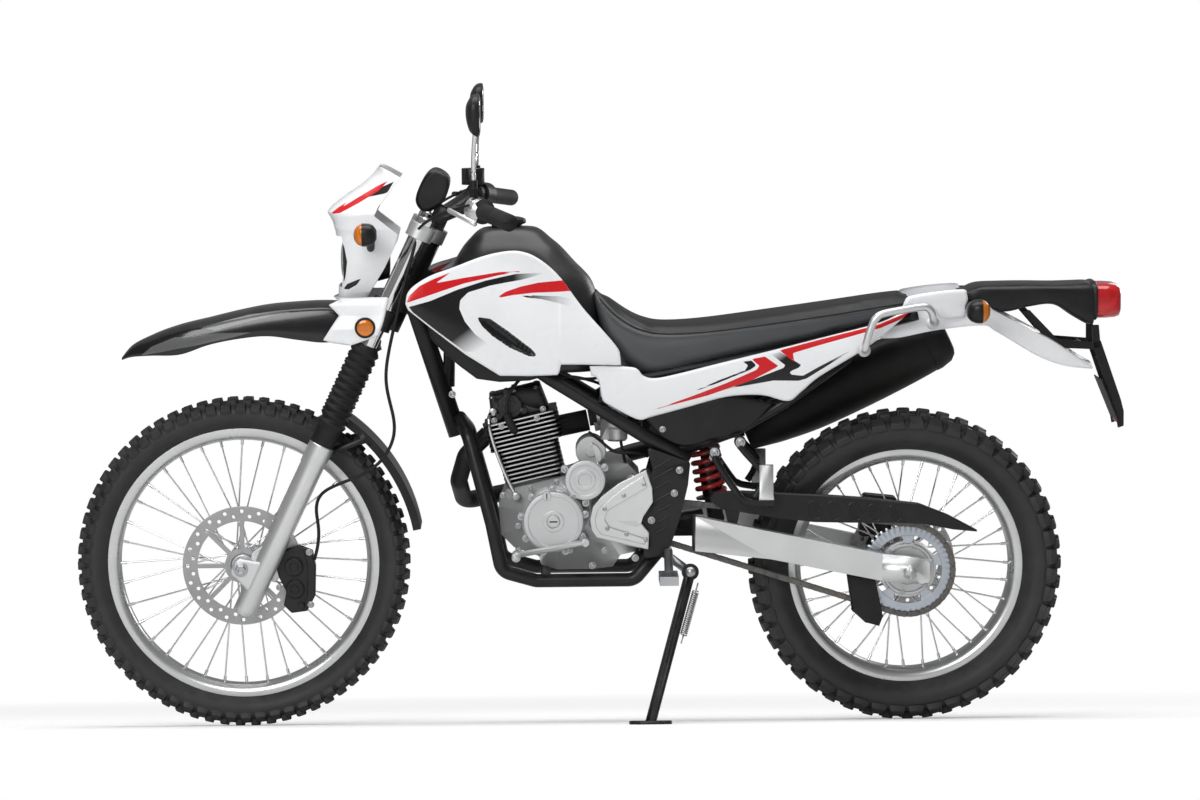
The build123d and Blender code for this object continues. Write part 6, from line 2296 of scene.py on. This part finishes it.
# what hangs on the engine: the cam cover's cap, head bolts, plug lead, oil pipe, starter, carburettor and
# clamps
def makeEngineExtras():
    def at(level, forward, across):
        # a place on the cylinder: up it, ahead of its middle line, and across the machine
        return tuple(
            engine["barrelFoot"] + level * barrelUp + forward * barrelAhead + np.array([0, across, 0])
        )

    cap = repeated(
        turnedShape([(-10, 25), (2, 25), (4, 23), (4, 14), (6, 12), (6, 0.4)], 48), [at(96, 14, -70)],
        sideAxes
    )
    boss = repeated(
        turnedShape([(-16, 7), (6, 7), (7.5, 5.6)], 24),
        [at(96 + 30 * cos(turn), 14 + 30 * sin(turn), -66) for turn in np.arange(3) * 2.1], sideAxes
    )
    build("cam-cap", joined(cap, boss), "chassis", "engineBlack", "engine_black")
    cover = [
        at(118, -46, -48), at(118, 46, -48), at(118, -46, 48), at(118, 46, 48), at(121, 0, -52),
        at(121, 0, 52)
    ]
    heads = repeated(boltShape(5.0), cover, axesAlong([barrelUp])[0])
    side = repeated(
        boltShape(4.2), [at(60, 40, -74), at(60, -34, -74), at(74, 52, -62), at(74, -50, -62)], sideAxes
    )
    build("head-bolts", joined(heads, side), "chassis", "zinc", "bright_steel")
    plug = tubeAlong(
        smoothLine([at(44, 16, -66), at(50, 17, -84), at(62, 20, -92), at(84, 24, -92)], 24), 8.2, 18
    )
    build("plug-cap", plug, "chassis", "rubber", "rubber_black", sharp=50)
    nurbsTube(
        "plug-lead", [at(80, 23, -92), at(112, 22, -90), (-120, -84, 712), (-100, -60, 730), (-60, -34, 738)],
        3.4, "chassis", "rubber", "rubber_black"
    )
    nurbsTube(
        "oil-pipe",
        [
            at(92, 52, -58), at(90, 62, -74), at(60, 66, -80), at(0, 62, -80), at(-58, 52, -82),
            at(-84, 44, -84)
        ],
        3.6, "chassis", "chrome", "bright_steel"
    )
    # profile, number of sides, places, finish and slot of the round pieces that lie across the machine
    for name, (profile, count, places, finish, slot) in {
        "oil-pipe-ends": (
            [(-6, 8), (6, 8), (7, 6.5)], 20, [at(92, 50, -60), at(-84, 44, -86)], "zinc", "bright_steel"
        ),
        "starter": (
            [(-36, 24), (-34, 29), (34, 29), (36, 31), (44, 31), (46, 29), (46, 12), (50, 11), (50, 0.4)], 56,
            [(34, -30, 572)], "castAlloy", "cast_alloy"
        ),
        "starter-band": (
            [(-20, 29.4), (-19, 30.6), (-13, 30.6), (-12, 29.4)], 56, [(34, -30, 572)], "rubber",
            "black_plastic"
        ),
    }.items():
        build(name, repeated(turnedShape(profile, count), places, sideAxes), "chassis", finish, slot)

    def standing(profile, foot):
        # a part of the carburettor, turned round its upright middle line
        return repeated(turnedShape(profile, 40), [(88, -14, foot)], np.eye(3))

    # carburettor: a bore along x, a bowl below and a slide cover above, with a clamp at each end
    bore = tubeAlong([(30, -8, 640), (60, -8, 645), (118, -8, 652), (150, -8, 656)], [24, 25, 25, 27], 32)
    build("intake-boots", bore, "chassis", "rubber", "rubber_black", sharp=50)
    body = standing([(0, 22), (4, 27), (34, 27), (38, 30), (44, 30), (48, 26), (56, 24), (57, 10)], 612)
    bowl = standing([(0, 8), (0, 18), (4, 22), (26, 23), (28, 26), (33, 26)], 586)
    build("carburettor-body", joined(body, bowl), "chassis", "castAlloy", "cast_alloy")
    lid = standing([(0, 30), (3, 31), (16, 28), (20, 22), (22, 8), (30, 6), (30, 0.4)], 669)
    build("carburettor-lid", lid, "chassis", "blackPanel", "black_plastic")
    rings = rodsBetween([(46, -8, 642), (130, -8, 653.5)], [(53, -8, 643), (137, -8, 654.5)], 28, 36)
    build("intake-clamps", rings, "chassis", "zinc", "bright_steel")
    for name, path in {
        "choke-cable": [(88, -16, 698), (86, -30, 722), (60, -60, 724), (10, -88, 716), (-40, -96, 742)],
        "breather-hose": [
            (-60, 10, 706), (-30, 4, 724), (40, -44, 716), (96, -58, 690), (128, -60, 640), (134, -62, 600)
        ],
        "drain-hose": [
            (96, -30, 588), (100, -52, 560), (112, -70, 520), (124, -74, 470), (128, -84, 400),
            (126, -84, 350)
        ],
        "wiring": [(150, -70, 560), (120, -92, 575), (80, -84, 560), (60, -70, 590), (30, -80, 612)],
    }.items():
        nurbsTube(name, path, 3.2, "chassis", "rubber", "rubber_black")


makeEngineExtras()

# diagonal ribs on each pivot plate
def makePivotRibs():
    lines = [
        ((160, 540), (196, 560)), ((158, 518), (200, 541)), ((158, 496), (190, 514)),
        ((164, 474), (196, 492)), ((168, 452), (196, 468)), ((166, 430), (190, 443)), ((162, 408), (184, 420))
    ]
    for side, label in sides:
        starts = [(x, side * 118, z) for (x, z), _ in lines]
        ends = [(x, side * 118, z) for _, (x, z) in lines]
        build(
            "pivot-ribs-" + label, rodsBetween(starts, ends, 2.2, 12), bodyOf["pivot_plates"], "framePaint",
            slotOf["pivot_plates"], sharp=45
        )


makePivotRibs()
print("small parts made")

# ---- studio
studio = {
    "eye": (-88, -8400, 1600), "target": (54.7, 0, 668.6), "lens": 123.5, "roll": -0.47,
    "lamps": {
        "overhead": {"place": (0, -0.4, 3.4), "size": (3.6, 2.4), "power": 95},
        "leftSoft": {"place": (-1.6, -4.4, 2.1), "size": (2.6, 1.8), "power": 108},
        "rearSoft": {"place": (2.6, 3.4, 2.0), "size": (1.8, 1.6), "power": 26},
    },
    "surround": 0.22, "floorTone": 0.8, "floorLift": 0.3, "near": 1.5, "far": 3.4,
}


def seenRays(tree):
    # one for what the camera sees, itself or through a lens
    rays = addNode(tree, "LightPath")
    return mathNode(tree, "MAXIMUM", rays.outputs["Is Camera Ray"], rays.outputs["Is Transmission Ray"])


def makeStudio():
    floorMesh = newMesh("floor", [(-60, -60, 0), (60, -60, 0), (60, 60, 0), (-60, 60, 0)], [(0, 1, 2, 3)])
    floor = bpy.data.objects.new("floor", floorMesh)
    scene.collection.objects.link(floor)
    material, tree, shader = newMaterial("floorWhite")
    # the floor takes a shadow near the machine and turns to the backdrop's own white further out
    away = addNode(tree, "VectorMath", {0: objectPlace(tree)}, operation="LENGTH")
    far = rangeNode(tree, away.outputs["Value"], studio["near"], studio["far"])
    seen = seenRays(tree)
    tone = studio["floorTone"]
    lift = rangeNode(tree, far, 0.0, 1.0, studio["floorLift"], 1.0)
    feed(tree, shader, {
        "Roughness": 0.9, "Specular IOR Level": 0.0, "Emission Color": (1, 1, 1, 1),
        "Base Color": mixColour(
            tree, mathNode(tree, "MULTIPLY", far, seen), (tone, tone, tone), (0.0, 0.0, 0.0)
        ),
        "Emission Strength": mathNode(tree, "MULTIPLY", seen, lift),
    })
    floorMesh.materials.append(material)

    world = bpy.data.worlds.new("studio")
    scene.world = world
    world.use_nodes = True
    tree = world.node_tree
    strength = mathNode(tree, "MULTIPLY", seenRays(tree), 1 - studio["surround"])
    strength = mathNode(tree, "ADD", strength, studio["surround"])
    feed(tree, tree.nodes["Background"], {"Color": (1, 1, 1, 1), "Strength": strength})

    for name, given in studio["lamps"].items():
        light = bpy.data.lights.new(name, "AREA")
        light.shape = "RECTANGLE"
        light.size, light.size_y = given["size"]
        light.energy = given["power"]
        lamp = bpy.data.objects.new(name, light)
        lamp.location = given["place"]
        lamp.rotation_euler = (
            Vector((0, 0, 0.6)) - Vector(given["place"])
        ).to_track_quat("-Z", "Y").to_euler()
        scene.collection.objects.link(lamp)

    camera = bpy.data.objects.new("camera", bpy.data.cameras.new("camera"))
    scene.collection.objects.link(camera)
    eye, target = parked(studio["eye"]), parked(studio["target"])
    camera.location = eye
    back = Vector(eye - target).normalized()
    up = Vector(upAxis)
    right = up.cross(back).normalized()
    turn = Matrix((right, back.cross(right), back)).transposed()
    camera.rotation_euler = (turn @ Matrix.Rotation(radians(studio["roll"]), 3, "Z")).to_euler()
    camera.data.lens = studio["lens"]
    camera.data.sensor_width = 36
    camera.data.clip_end = 200
    scene.camera = camera


makeStudio()
print("studio set")
